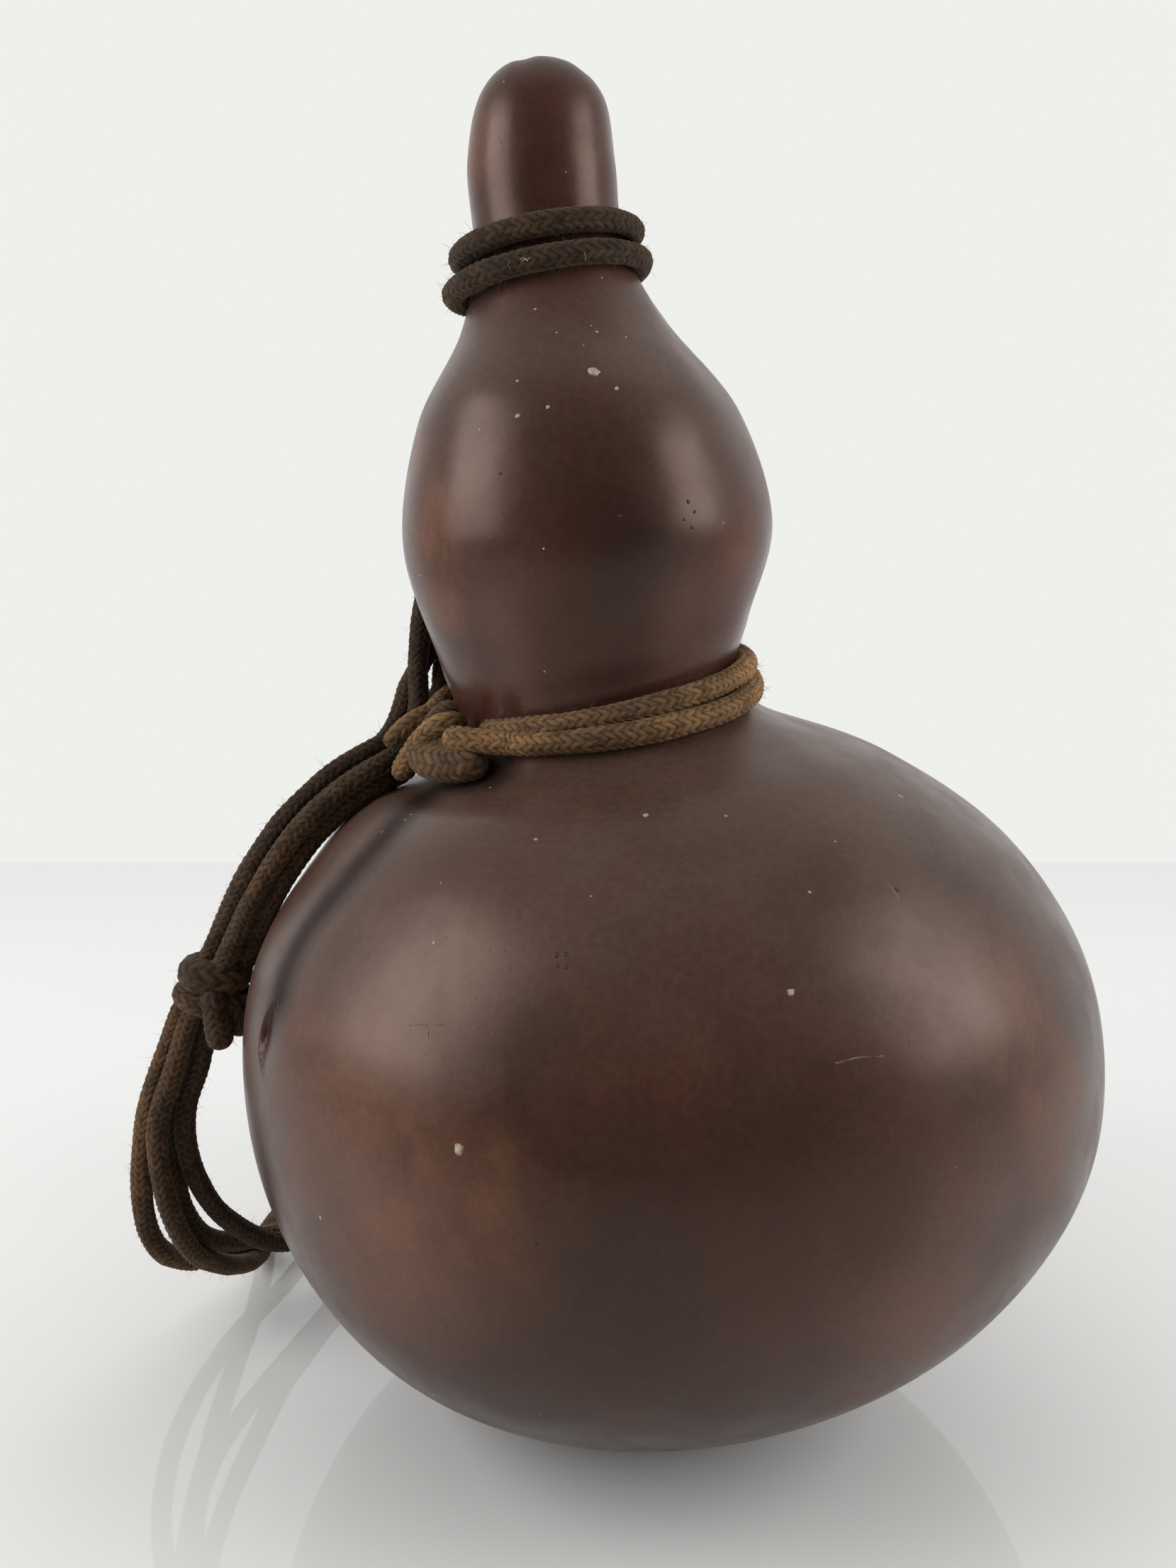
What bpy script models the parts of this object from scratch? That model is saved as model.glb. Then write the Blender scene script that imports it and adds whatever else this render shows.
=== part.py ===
"""A dried bottle gourd with a braided cord tied round its neck and waist.

The gourd grew as one piece and is one solid: a sphere whose rings are moved onto a
hand-drawn profile with a leaning centre line. The cord is worked in round tubes: two turns
and a hitch at the neck, four strands that run down the back of the upper bulb and over the
shoulder to a lower knot, two turns and a knot at the waist that catch them, and two loops
that hang from the lower knot and lie on the table behind the gourd.

Origin: the centre of the flat foot. +Z is up and -Y is the front. Lengths here are in
millimetres and are turned into metres where the meshes are made.
"""
import math

import bmesh
import bpy
import numpy as np
from mathutils import Vector

MM = 0.001

# The gourd, from foot to crown: radius, height, sideways place of the centre, and tilt in degrees
LOWER_RADIUS = 99
UPPER_RADIUS = 42
WAIST_RADIUS = 33
NECK_RADIUS = 16.5
FOOT_RADIUS = 27
TOTAL_HEIGHT = 305
PROFILE = [
    (0, 0, 0, 0),
    (FOOT_RADIUS, 0, 0, 0),
    (60, 16, -1.5, 0),
    (87, 42, 3.5, 0),
    (LOWER_RADIUS, 75, 6, 0),
    (96, 108, 6, 0),
    (80.5, 134, 5.5, 1),
    (61, 149, -2, 5),
    (38, 158.5, -9, 11),
    (WAIST_RADIUS, 167, -10, 11),
    (36, 180, -11, 9),
    (UPPER_RADIUS, 205, -13, 4),
    (36.5, 230, -15.5, 3),
    (23, 250, -18.5, 3),
    (NECK_RADIUS, 266, -21, 3),
    (16, 285, -22.5, 1),
    (13, 299, -22.7, 0),
    (7, TOTAL_HEIGHT - 0.5, -23, 0),
    (0, TOTAL_HEIGHT, -23, 0),
]
GOURD_SEGMENTS = 48
GOURD_RINGS = 50

# The cord
CORD_RADIUS = 2.45
CORD_SIDES_STEP = 3
CORD_POINT_SPACING = 9
LAID_HEIGHT = 2.7

# Two turns round the neck: centre, radius and sideways tilt of the upper and the lower one
NECK_UPPER = ((-21.5, 0, 267.2), 19.9, 9)
NECK_LOWER = ((-21.2, 0, 259.8), 21.7, 10)
NECK_START = 90
# The hitch at the back of the neck: a bight over both turns
NECK_HITCH = [
    (-26.2, 25.0, 253.0), (-26.4, 25.3, 258), (-26.3, 24.6, 263), (-26.1, 23.6, 267),
    (-25.2, 22.2, 270.4), (-23.4, 20.9, 272.2), (-21.3, 20.4, 272.7), (-19.2, 20.9, 272.2),
    (-17.4, 22.2, 270.4), (-16.5, 23.6, 267), (-16.3, 24.6, 263), (-16.2, 25.3, 258),
    (-16.4, 25.0, 253.0),
]

# Two turns round the waist
WAIST_UPPER = ((-10.2, 0, 168.8), 36.7, 10.5)
WAIST_LOWER = ((-9.4, 0, 163.2), 38.7, 9.7)
WAIST_START = 205
# The bights of the waist knot, which catch the strands at the left of the waist
WAIST_FRONT_BIGHT = [
    (-35, -30, 160.6), (-40.1, -27.8, 163.8), (-46.4, -24.5, 164.3), (-50.6, -22, 161.4),
    (-53.4, -20, 157), (-54.8, -18, 153), (-55.4, -15.5, 151),
]
WAIST_UNDER_BIGHT = [(-36.5, -30.5, 157.6), (-42.5, -28.8, 156), (-48, -24.5, 156), (-50, -18.5, 157.5)]
WAIST_BACK_BIGHT = [
    (-43.5, 14.0, 164), (-46.5, 6, 167), (-49, -1, 169), (-53.5, -6, 168),
    (-58, -9.4, 163.4), (-60.6, -10.6, 157.6), (-60.6, -10.4, 153.4),
]
WAIST_KNOT_HEART = (-49, -16.5, 159)
KNOT_HEART_RADIUS = 6
KNOT_BULGE_RADIUS = 3.4

# The four strands as one bundle, from the hitch at the neck to the lower knot
BUNDLE = [
    (-22.2, 28.8, 248.6),
    (-25.6, 32.5, 241.5),
    (-31.5, 36.4, 230),
    (-38.7, 36.8, 217),
    (-44.2, 33.2, 205),
    (-49.3, 27.5, 192),
    (-53.5, 20.5, 180),
    (-57.5, 12, 169),
    (-60.8, 5, 160),
    (-63.9, -1, 154.1),
    (-68.0, -5, 149.2),
    (-73.2, -8, 144.5),
    (-79.8, -9.5, 137.3),
    (-86.7, -9.5, 128.0),
    (-91.6, -8, 120.3),
    (-95.2, -6.2, 113.6),
    (-99.25, -6, 105.9),
]
ROW_SPACING = 5.8
BUNDLE_REACH = 3.9
# Where along the bundle, as a share of its length, the row of strands closes up
CLOSE_START = 0.42
CLOSE_END = 0.62
# Centres that the strands are pushed away from, and the height where one takes over
UPPER_CENTRE = (-13, 0, 0)
LOWER_CENTRE = (6, 0, 75)
SHOULDER_TOP = 172
SHOULDER_BLEND = 22

# The lower knot, whose axis leans down and away from the gourd
KNOT_CENTRE = (-102.4, -6, 100.0)
KNOT_AXIS = (-0.472, 0, -0.881)
KNOT_LENGTH = 12.4
KNOT_CORE_RADIUS = 6.6
KNOT_TURN_RADIUS = 6.2
KNOT_TURN_SPREAD = 0.9
KNOT_TURNS = 1.5
KNOT_START = 270
KNOT_ENDS = [
    [(-103.2, -11.8, 99.5), (-102.0, -13.6, 95.5), (-100.2, -14.4, 91.2), (-99.2, -14.4, 88.2)],
    [(-99.2, -9.5, 99.0), (-97.4, -10.0, 95.5), (-96.6, -9.4, 92.0)],
]

# The two tail loops: down to the table, round a bight behind the gourd, and back up
LOOP_OUTER = [
    (-109.1, -6, 95.5), (-110.7, -6.2, 92.5), (-115.2, -7.2, 81), (-119.3, -8, 70.4),
    (-121.5, -8.2, 58.5), (-122.6, -7.2, 44), (-122.2, -4.8, 34.9), (-120.6, 1.5, 26),
    (-116.9, 11.3, 18.4), (-113.9, 19, 15.4), (-110.9, 27, 13), (-107.3, 34.5, 11),
    (-102, 45, 9), (-96.6, 55.5, 5.4), (-91, 63.5, 3.2), (-83, 72.5, LAID_HEIGHT),
    (-70, 83, LAID_HEIGHT), (-54, 90.5, LAID_HEIGHT), (-36, 94.5, LAID_HEIGHT),
    (-20, 95.5, LAID_HEIGHT), (-9.5, 105.5, LAID_HEIGHT), (-20, 115.5, LAID_HEIGHT),
    (-42, 115.5, LAID_HEIGHT), (-64, 109.5, LAID_HEIGHT), (-84, 98.5, LAID_HEIGHT),
    (-98, 84.5, LAID_HEIGHT), (-106.5, 68.5, LAID_HEIGHT), (-108.4, 56, 2.8), (-106.8, 45, 3.4),
    (-106.3, 36, 5.6), (-106.9, 26.5, 9.2), (-108.8, 16.6, 14.2), (-111.2, 5, 21.6),
    (-113.3, -4.6, 30), (-115.2, -10, 40.5), (-116.6, -11.4, 54), (-116, -11.3, 66.5),
    (-111.6, -10.6, 78.6), (-107.0, -9.8, 91.4), (-105.75, -9.8, 93.75),
]
LOOP_INNER = [
    (-105.75, -2.2, 93.75), (-106.8, -2.2, 91.7), (-107.9, -1.7, 84), (-111, -1.6, 75),
    (-113.9, -1.8, 67), (-115.1, -2.3, 57), (-114.8, -2.6, 49), (-113.5, -2.2, 40.3),
    (-111.4, -0.2, 33.7), (-108.4, 4, 28.2), (-104.9, 9.8, 24.6), (-101.6, 16, 22),
    (-97.6, 23, 19.6), (-93.5, 30.5, 17.4), (-89.8, 37.5, 15.2), (-85.2, 45.5, 11.2),
    (-80, 53.5, 6.8), (-74, 60.5, 3.6), (-66, 68, LAID_HEIGHT), (-54, 75, LAID_HEIGHT),
    (-42, 77, LAID_HEIGHT), (-31.5, 67, LAID_HEIGHT), (-42, 57, LAID_HEIGHT),
    (-54, 55.5, LAID_HEIGHT), (-64, 52.5, 2.8), (-73, 46.5, 4), (-80.5, 39.5, 8), (-86.5, 32, 13),
    (-91, 24.5, 17), (-94.8, 17.3, 20.2), (-98.6, 10.1, 25.6), (-101.6, 4.4, 31.4),
    (-104.9, -0.6, 38.2), (-107.6, -3.8, 45.4), (-109.8, -5.4, 53.4), (-110.6, -6, 61.2),
    (-109.5, -6.4, 70), (-106.4, -6.4, 79), (-103.5, -6, 89.8), (-102.4, -6, 92.0),
]

# Finishes, as colour and roughness: red-brown skin, dark cord and the worn tan cord of the waist
SKIN = ((0.13, 0.05, 0.032), 0.35)
DARK_CORD = ((0.060, 0.042, 0.028), 0.85)
TAN_CORD = ((0.190, 0.125, 0.062), 0.85)


def clear_scene():
    for item in list(bpy.data.objects):
        bpy.data.objects.remove(item, do_unlink=True)


def make_collection(name):
    group = bpy.data.collections.new(name)
    bpy.context.scene.collection.children.link(group)
    return group


def make_material(name, finish):
    colour, roughness = finish
    material = bpy.data.materials.new(name + "_finish")
    material.use_nodes = True
    shader = material.node_tree.nodes["Principled BSDF"]
    shader.inputs["Base Color"].default_value = (*colour, 1)
    shader.inputs["Roughness"].default_value = roughness
    shader.inputs["Metallic"].default_value = 0
    return material


def smooth_curve(points, count, detail=40):
    """Points evenly spaced along a smooth curve through the given ones, in any dimension.

    Each span is a cubic whose slope at a point is the mean of the slopes beside it, and a
    span's share of the parameter is the square root of its length, so nothing overshoots.
    """
    knots = np.asarray(points, float)
    share = np.sqrt(np.linalg.norm(np.diff(knots, axis=0), axis=1))
    span_slope = np.diff(knots, axis=0) / share[:, None]
    slope = np.empty_like(knots)
    slope[0] = span_slope[0]
    slope[-1] = span_slope[-1]
    before = share[:-1, None]
    after = share[1:, None]
    slope[1:-1] = (span_slope[:-1] * after + span_slope[1:] * before) / (before + after)
    s = np.linspace(0, 1, detail, endpoint=False)[None, :, None]
    width = share[:, None, None]
    start = knots[:-1, None, :]
    end = knots[1:, None, :]
    leave = slope[:-1, None, :] * width
    arrive = slope[1:, None, :] * width
    fine = ((2 * s**3 - 3 * s**2 + 1) * start + (s**3 - 2 * s**2 + s) * leave
            + (3 * s**2 - 2 * s**3) * end + (s**3 - s**2) * arrive)
    fine = np.vstack([fine.reshape(-1, knots.shape[1]), knots[-1:]])
    run = np.concatenate([[0], np.cumsum(np.linalg.norm(np.diff(fine, axis=0), axis=1))])
    even = np.linspace(0, run[-1], count)
    return np.stack([np.interp(even, run, fine[:, k]) for k in range(knots.shape[1])], axis=1)


def route_length(points):
    return float(np.linalg.norm(np.diff(np.asarray(points), axis=0), axis=1).sum())


def smooth_step(value):
    t = np.clip(value, 0, 1)
    return t * t * (3 - 2 * t)


def make_gourd(group):
    """The skin: each ring of a sphere takes its radius, height, centre and tilt from the profile."""
    rings = smooth_curve(PROFILE, GOURD_RINGS + 1)
    bm = bmesh.new()
    bmesh.ops.create_uvsphere(bm, u_segments=GOURD_SEGMENTS, v_segments=GOURD_RINGS, radius=1)
    for vert in bm.verts:
        polar = math.acos(max(-1, min(1, -vert.co.z)))
        radius, height, centre, tilt = rings[round(polar / math.pi * GOURD_RINGS)]
        angle = math.atan2(vert.co.y, vert.co.x)
        lean = math.radians(tilt)
        out = radius * math.cos(angle)
        x = centre + out * math.cos(lean)
        y = radius * math.sin(angle)
        z = max(height + out * math.sin(lean), 0)
        vert.co = Vector((x, y, z)) * MM
    foot = [face for face in bm.faces if all(vert.co.z == 0 for vert in face.verts)]
    bmesh.ops.dissolve_faces(bm, faces=foot, use_verts=True)
    mesh = bpy.data.meshes.new("gourd")
    bm.to_mesh(mesh)
    bm.free()
    mesh.shade_smooth()
    mesh.materials.append(make_material("gourd", SKIN))
    gourd = bpy.data.objects.new("gourd", mesh)
    group.objects.link(gourd)
    return gourd


def make_tube(name, points, group, radius=CORD_RADIUS, spacing=CORD_POINT_SPACING):
    """A round cord: a poly curve with a bevel and filled caps along a smooth route."""
    count = max(3, round(route_length(points) / spacing) + 1)
    route = smooth_curve(points, count)
    curve = bpy.data.curves.new(name, "CURVE")
    curve.dimensions = "3D"
    spline = curve.splines.new("POLY")
    spline.points.add(len(route) - 1)
    for point, place in zip(spline.points, route):
        point.co = (*(place * MM), 1)
    spline.use_smooth = True
    curve.bevel_depth = radius * MM
    curve.bevel_resolution = CORD_SIDES_STEP
    curve.use_fill_caps = True
    tube = bpy.data.objects.new(name, curve)
    group.objects.link(tube)
    return tube


def make_cord(name, points, group, finish):
    """A free stretch of cord, which stays a curve."""
    cord = make_tube(name, points, group)
    cord.data.materials.append(make_material(name, finish))
    return cord


def as_closed_mesh(tube):
    """The tube as a mesh whose end caps are welded on, because a curve takes no Boolean."""
    graph = bpy.context.evaluated_depsgraph_get()
    graph.update()
    mesh = bpy.data.meshes.new_from_object(tube.evaluated_get(graph))
    bm = bmesh.new()
    bm.from_mesh(mesh)
    bmesh.ops.remove_doubles(bm, verts=bm.verts, dist=0.00001)
    bm.to_mesh(mesh)
    bm.free()
    closed = bpy.data.objects.new(tube.name, mesh)
    closed.matrix_world = tube.matrix_world
    bpy.data.objects.remove(tube, do_unlink=True)
    return closed


def make_ball(name, centre, radius):
    bm = bmesh.new()
    bmesh.ops.create_uvsphere(bm, u_segments=14, v_segments=9, radius=radius * MM)
    bmesh.ops.translate(bm, verts=bm.verts, vec=Vector(centre) * MM)
    mesh = bpy.data.meshes.new(name)
    bm.to_mesh(mesh)
    bm.free()
    return bpy.data.objects.new(name, mesh)


def make_core(centre, axis, length, radius):
    """A short cylinder with flat ends along an axis."""
    bm = bmesh.new()
    bmesh.ops.create_cone(bm, cap_ends=True, segments=20, radius1=radius * MM,
                          radius2=radius * MM, depth=length * MM)
    turn = Vector((0, 0, 1)).rotation_difference(Vector(axis).normalized()).to_matrix()
    bmesh.ops.rotate(bm, verts=bm.verts, cent=(0, 0, 0), matrix=turn)
    bmesh.ops.translate(bm, verts=bm.verts, vec=Vector(centre) * MM)
    mesh = bpy.data.meshes.new("core")
    bm.to_mesh(mesh)
    bm.free()
    return bpy.data.objects.new("core", mesh)


def fuse(name, pieces, group, finish):
    """One body from several: a Boolean union on a collection, applied, whose pieces then go."""
    body = pieces[0]
    body.name = name
    others = bpy.data.collections.new(name + "_pieces")
    bpy.context.scene.collection.children.link(others)
    group.objects.link(body)
    for piece in pieces[1:]:
        others.objects.link(piece)
    union = body.modifiers.new("union", "BOOLEAN")
    union.operation = "UNION"
    union.operand_type = "COLLECTION"
    union.collection = others
    graph = bpy.context.evaluated_depsgraph_get()
    graph.update()
    mesh = bpy.data.meshes.new_from_object(body.evaluated_get(graph))
    body.modifiers.clear()
    body.data = mesh
    mesh.materials.clear()
    mesh.materials.append(make_material(name, finish))
    mesh.shade_smooth()
    for piece in pieces[1:]:
        bpy.data.objects.remove(piece, do_unlink=True)
    bpy.data.collections.remove(others)
    return body


def turn_route(upper, lower, start_degrees, first, last, steps_per_turn=28):
    """Two turns of cord side by side: an upper ring that steps down to a lower one.

    Progress runs from 0 to 2 turns. The step is made within a sixth of a turn on each side
    of progress 1, where the knot or hitch covers it.
    """
    count = round((last - first) * steps_per_turn) + 1
    places = []
    for progress in np.linspace(first, last, count):
        step = float(smooth_step((progress - 0.85) / 0.3))
        centre = [u + (w - u) * step for u, w in zip(upper[0], lower[0])]
        radius = upper[1] + (lower[1] - upper[1]) * step
        tilt = math.radians(upper[2] + (lower[2] - upper[2]) * step)
        angle = math.radians(start_degrees) + progress * 2 * math.pi
        out = radius * math.cos(angle)
        places.append((centre[0] + out * math.cos(tilt), centre[1] + radius * math.sin(angle),
                       centre[2] + out * math.sin(tilt)))
    return places


def make_neck_wrap(group):
    """Two turns with their ends under a small hitch at the back."""
    route = turn_route(NECK_UPPER, NECK_LOWER, NECK_START, 0.05, 1.95)
    turns = as_closed_mesh(make_tube("turns", route, group, spacing=4.5))
    hitch = as_closed_mesh(make_tube("hitch", NECK_HITCH, group, spacing=3))
    return fuse("neck_wrap", [turns, hitch], group, DARK_CORD)


def strand_routes():
    """Four routes: a row on the upper bulb that closes into a square-packed bundle.

    At each place out points away from the skin, square to the bundle's line, and front is
    square to both. In the row the strands differ in front only, and in the bundle they
    stand front, out, in and back.
    """
    count = 60
    line = smooth_curve(BUNDLE, count)
    along = np.gradient(line, axis=0)
    along /= np.linalg.norm(along, axis=1)[:, None]
    on_shoulder = smooth_step((SHOULDER_TOP - line[:, 2]) / SHOULDER_BLEND)[:, None]
    from_upper = line - UPPER_CENTRE
    from_upper[:, 2] = 0
    from_lower = line - LOWER_CENTRE
    out = (from_upper / np.linalg.norm(from_upper, axis=1)[:, None] * (1 - on_shoulder)
           + from_lower / np.linalg.norm(from_lower, axis=1)[:, None] * on_shoulder)
    out -= (out * along).sum(axis=1)[:, None] * along
    out /= np.linalg.norm(out, axis=1)[:, None]
    front = np.cross(out, along)
    share = np.linspace(0, 1, count)
    closed = smooth_step((share - CLOSE_START) / (CLOSE_END - CLOSE_START))[:, None]
    lead = np.minimum(1, 2 * closed)
    row_places = (1.5, 0.5, -0.5, -1.5)
    bundle_places = ((0, 1), (1, 0), (-1, 0), (0, -1))
    routes = []
    for row, (far_out, far_front) in zip(row_places, bundle_places):
        sideways = row * ROW_SPACING * (1 - closed) + far_front * BUNDLE_REACH * closed
        routes.append(line + front * sideways + out * far_out * BUNDLE_REACH * lead)
    return routes


def make_waist_wrap(group):
    """The worn tan cord: two turns, and the bights of its knot at the left of the waist."""
    route = turn_route(WAIST_UPPER, WAIST_LOWER, WAIST_START, 0.03, 1.97)
    pieces = [
        make_tube("turns", route, group, spacing=6),
        make_tube("front_bight", WAIST_FRONT_BIGHT, group, spacing=3.5),
        make_tube("under_bight", WAIST_UNDER_BIGHT, group, radius=KNOT_BULGE_RADIUS, spacing=3.5),
        make_tube("back_bight", WAIST_BACK_BIGHT, group, spacing=4),
    ]
    closed = [as_closed_mesh(piece) for piece in pieces]
    closed.append(make_ball("heart", WAIST_KNOT_HEART, KNOT_HEART_RADIUS))
    return fuse("waist_wrap", closed, group, TAN_CORD)


def make_lower_knot(group):
    """Turns of cord wound on the bundle, and the two cut ends that hang from them."""
    centre = np.array(KNOT_CENTRE, float)
    axis = np.array(KNOT_AXIS) / np.linalg.norm(KNOT_AXIS)
    front = np.array((0, -1, 0))
    side = np.cross(axis, front)
    share = np.linspace(0, 1, round(KNOT_TURNS * 22) + 1)[:, None]
    angle = math.radians(KNOT_START) + share * KNOT_TURNS * 2 * math.pi
    down = (share - 0.5) * (KNOT_LENGTH - 2 * CORD_RADIUS)
    radius = KNOT_TURN_RADIUS + share * KNOT_TURN_SPREAD
    wound = centre + axis * down + radius * (front * np.cos(angle) + side * np.sin(angle))
    pieces = [make_core(KNOT_CENTRE, KNOT_AXIS, KNOT_LENGTH, KNOT_CORE_RADIUS)]
    pieces.append(as_closed_mesh(make_tube("turns", wound, group, spacing=2.6)))
    for points in KNOT_ENDS:
        pieces.append(as_closed_mesh(make_tube("end", points, group, spacing=3)))
        pieces.append(make_ball("tip", points[-1], CORD_RADIUS * 1.02))
    return fuse("lower_knot", pieces, group, DARK_CORD)


def main():
    clear_scene()
    group = make_collection("bottle_gourd")
    make_gourd(group)
    make_neck_wrap(group)
    for number, route in enumerate(strand_routes(), start=1):
        make_cord(f"strand_{number}", route, group, DARK_CORD)
    make_waist_wrap(group)
    make_lower_knot(group)
    make_cord("tail_loop_outer", LOOP_OUTER, group, DARK_CORD)
    make_cord("tail_loop_inner", LOOP_INNER, group, DARK_CORD)


main()
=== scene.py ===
# %% [markdown]
# # A dried bottle gourd tied with a braided cord
#
# The gourd is one dried fruit: a big lower bulb, a waist, a small upper bulb and a neck that
# ends in a blunt crown. Its rind is hard, red-brown and softly polished. A dark braided cord
# goes twice round the neck, runs down the back of the upper bulb, is caught by a worn tan
# cord that goes twice round the waist, and ends in a knot from which two long loops hang down
# to the table. This lesson dresses the plain solids of that object, piece by piece.

# %% Load the solids
import math

import bpy
import numpy as np
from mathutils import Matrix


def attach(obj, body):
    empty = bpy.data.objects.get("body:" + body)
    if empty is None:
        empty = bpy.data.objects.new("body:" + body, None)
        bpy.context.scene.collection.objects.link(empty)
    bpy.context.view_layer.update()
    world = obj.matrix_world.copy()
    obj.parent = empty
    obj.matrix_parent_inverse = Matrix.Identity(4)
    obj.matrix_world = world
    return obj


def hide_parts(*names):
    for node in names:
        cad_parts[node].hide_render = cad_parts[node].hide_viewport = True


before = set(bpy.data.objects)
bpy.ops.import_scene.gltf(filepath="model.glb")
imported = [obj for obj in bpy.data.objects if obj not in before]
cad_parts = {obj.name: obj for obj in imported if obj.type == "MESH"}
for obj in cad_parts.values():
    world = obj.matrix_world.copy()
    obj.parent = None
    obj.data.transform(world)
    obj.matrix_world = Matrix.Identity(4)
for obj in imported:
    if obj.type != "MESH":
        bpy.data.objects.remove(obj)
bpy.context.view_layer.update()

MM = 0.001
BODY = "root"
print("solids:", ", ".join(sorted(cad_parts)))


def new_object(name, data):
    """An object in the scene, at the origin."""
    thing = bpy.data.objects.new(name, data)
    bpy.context.scene.collection.objects.link(thing)
    return thing


# %% [markdown]
# ## The camera
#
# A phone held close to the object, a little above its middle and looking slightly down. The
# focal length is kept in pixels of the picture, since a ray through a pixel then needs no
# sensor size, and the lens in millimetres follows from the height of the frame.

# %% Camera
FRAME_WIDTH = 1659
FRAME_HEIGHT = 2212
FOCAL_PIXELS = 1805
CAMERA_PLACE = np.array((-12.7, -300, 194)) * MM
LOOKING_DOWN = math.radians(9)
SENSOR_HEIGHT = 36

camera_data = bpy.data.cameras.new("camera")
camera_data.sensor_fit = "VERTICAL"
camera_data.sensor_height = SENSOR_HEIGHT
camera_data.lens = SENSOR_HEIGHT * FOCAL_PIXELS / FRAME_HEIGHT
camera_data.clip_start = 0.01
camera = new_object("camera", camera_data)
camera.location = CAMERA_PLACE
camera.rotation_euler = (math.pi / 2 - LOOKING_DOWN, 0, 0)
bpy.context.scene.camera = camera
print(f"lens {camera_data.lens:.1f} mm")


def unit(vectors):
    """Each vector divided by its own length."""
    return vectors / np.linalg.norm(vectors, axis=-1, keepdims=True)


def ray_through(pixel):
    """The direction from the camera through a pixel, counted from the top left corner."""
    right = (pixel[0] - FRAME_WIDTH / 2) / FOCAL_PIXELS
    down = (pixel[1] - FRAME_HEIGHT / 2) / FOCAL_PIXELS
    ahead = np.array((0, math.cos(LOOKING_DOWN), -math.sin(LOOKING_DOWN)))
    below = np.array((0, -math.sin(LOOKING_DOWN), -math.cos(LOOKING_DOWN)))
    return unit(ahead + right * np.array((1, 0, 0)) + down * below)


# %% [markdown]
# ## Smooth lines
#
# Every route here, the gourd's profile among them, is a short list of given points.
# A smooth curve through them is sampled at even steps. A Bezier curve object could do this
# too, but arrays are easier to offset, to twist and to measure.

# %% Curve helpers
def smooth_curve(points, count, detail=40):
    """Points evenly spaced along a smooth curve through the given ones, in any dimension.

    Each span is a cubic whose slope at a point is the mean of the slopes beside it, and a
    span's share of the parameter is the square root of its length, so nothing overshoots.
    """
    knots = np.asarray(points, float)
    share = np.sqrt(np.linalg.norm(np.diff(knots, axis=0), axis=1))
    span_slope = np.diff(knots, axis=0) / share[:, None]
    slope = np.empty_like(knots)
    slope[0] = span_slope[0]
    slope[-1] = span_slope[-1]
    before = share[:-1, None]
    after = share[1:, None]
    slope[1:-1] = (span_slope[:-1] * after + span_slope[1:] * before) / (before + after)
    s = np.linspace(0, 1, detail, endpoint=False)[None, :, None]
    width = share[:, None, None]
    start = knots[:-1, None, :]
    end = knots[1:, None, :]
    leave = slope[:-1, None, :] * width
    arrive = slope[1:, None, :] * width
    fine = ((2 * s**3 - 3 * s**2 + 1) * start + (s**3 - 2 * s**2 + s) * leave
            + (3 * s**2 - 2 * s**3) * end + (s**3 - s**2) * arrive)
    fine = np.vstack([fine.reshape(-1, knots.shape[1]), knots[-1:]])
    run = np.concatenate([[0], np.cumsum(np.linalg.norm(np.diff(fine, axis=0), axis=1))])
    even = np.linspace(0, run[-1], count)
    return np.stack([np.interp(even, run, fine[:, k]) for k in range(knots.shape[1])], axis=1)


def route_length(points):
    """The summed length of the straight steps between points."""
    return float(np.linalg.norm(np.diff(np.asarray(points), axis=0), axis=1).sum())


def smooth_step(value):
    """Zero below 0, one above 1, and 3t^2 - 2t^3 between."""
    t = np.clip(value, 0, 1)
    return t * t * (3 - 2 * t)


def turned(angle, side, other):
    """The direction at an angle from side towards other, which is square to it."""
    return np.cos(angle) * side + np.sin(angle) * other


# %% [markdown]
# ## Surfaces as rings of points
#
# A gourd and a cord are the same kind of surface: rings of points, one after another, closed
# at both ends in a point. One function turns such a grid into vertices, faces and a UV map,
# and another puts one or more of them into a mesh. The arrays are handed over whole, which is
# hundreds of times faster than adding faces one at a time.

# %% Mesh helpers
def corner_uv(*corners):
    """The UV pairs of faces in a list, corner by corner, from (u, v) grids for each corner."""
    pairs = [np.stack(np.broadcast_arrays(u, v), axis=-1) for u, v in corners]
    return np.stack(pairs, axis=-2).reshape(-1, 2)


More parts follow.
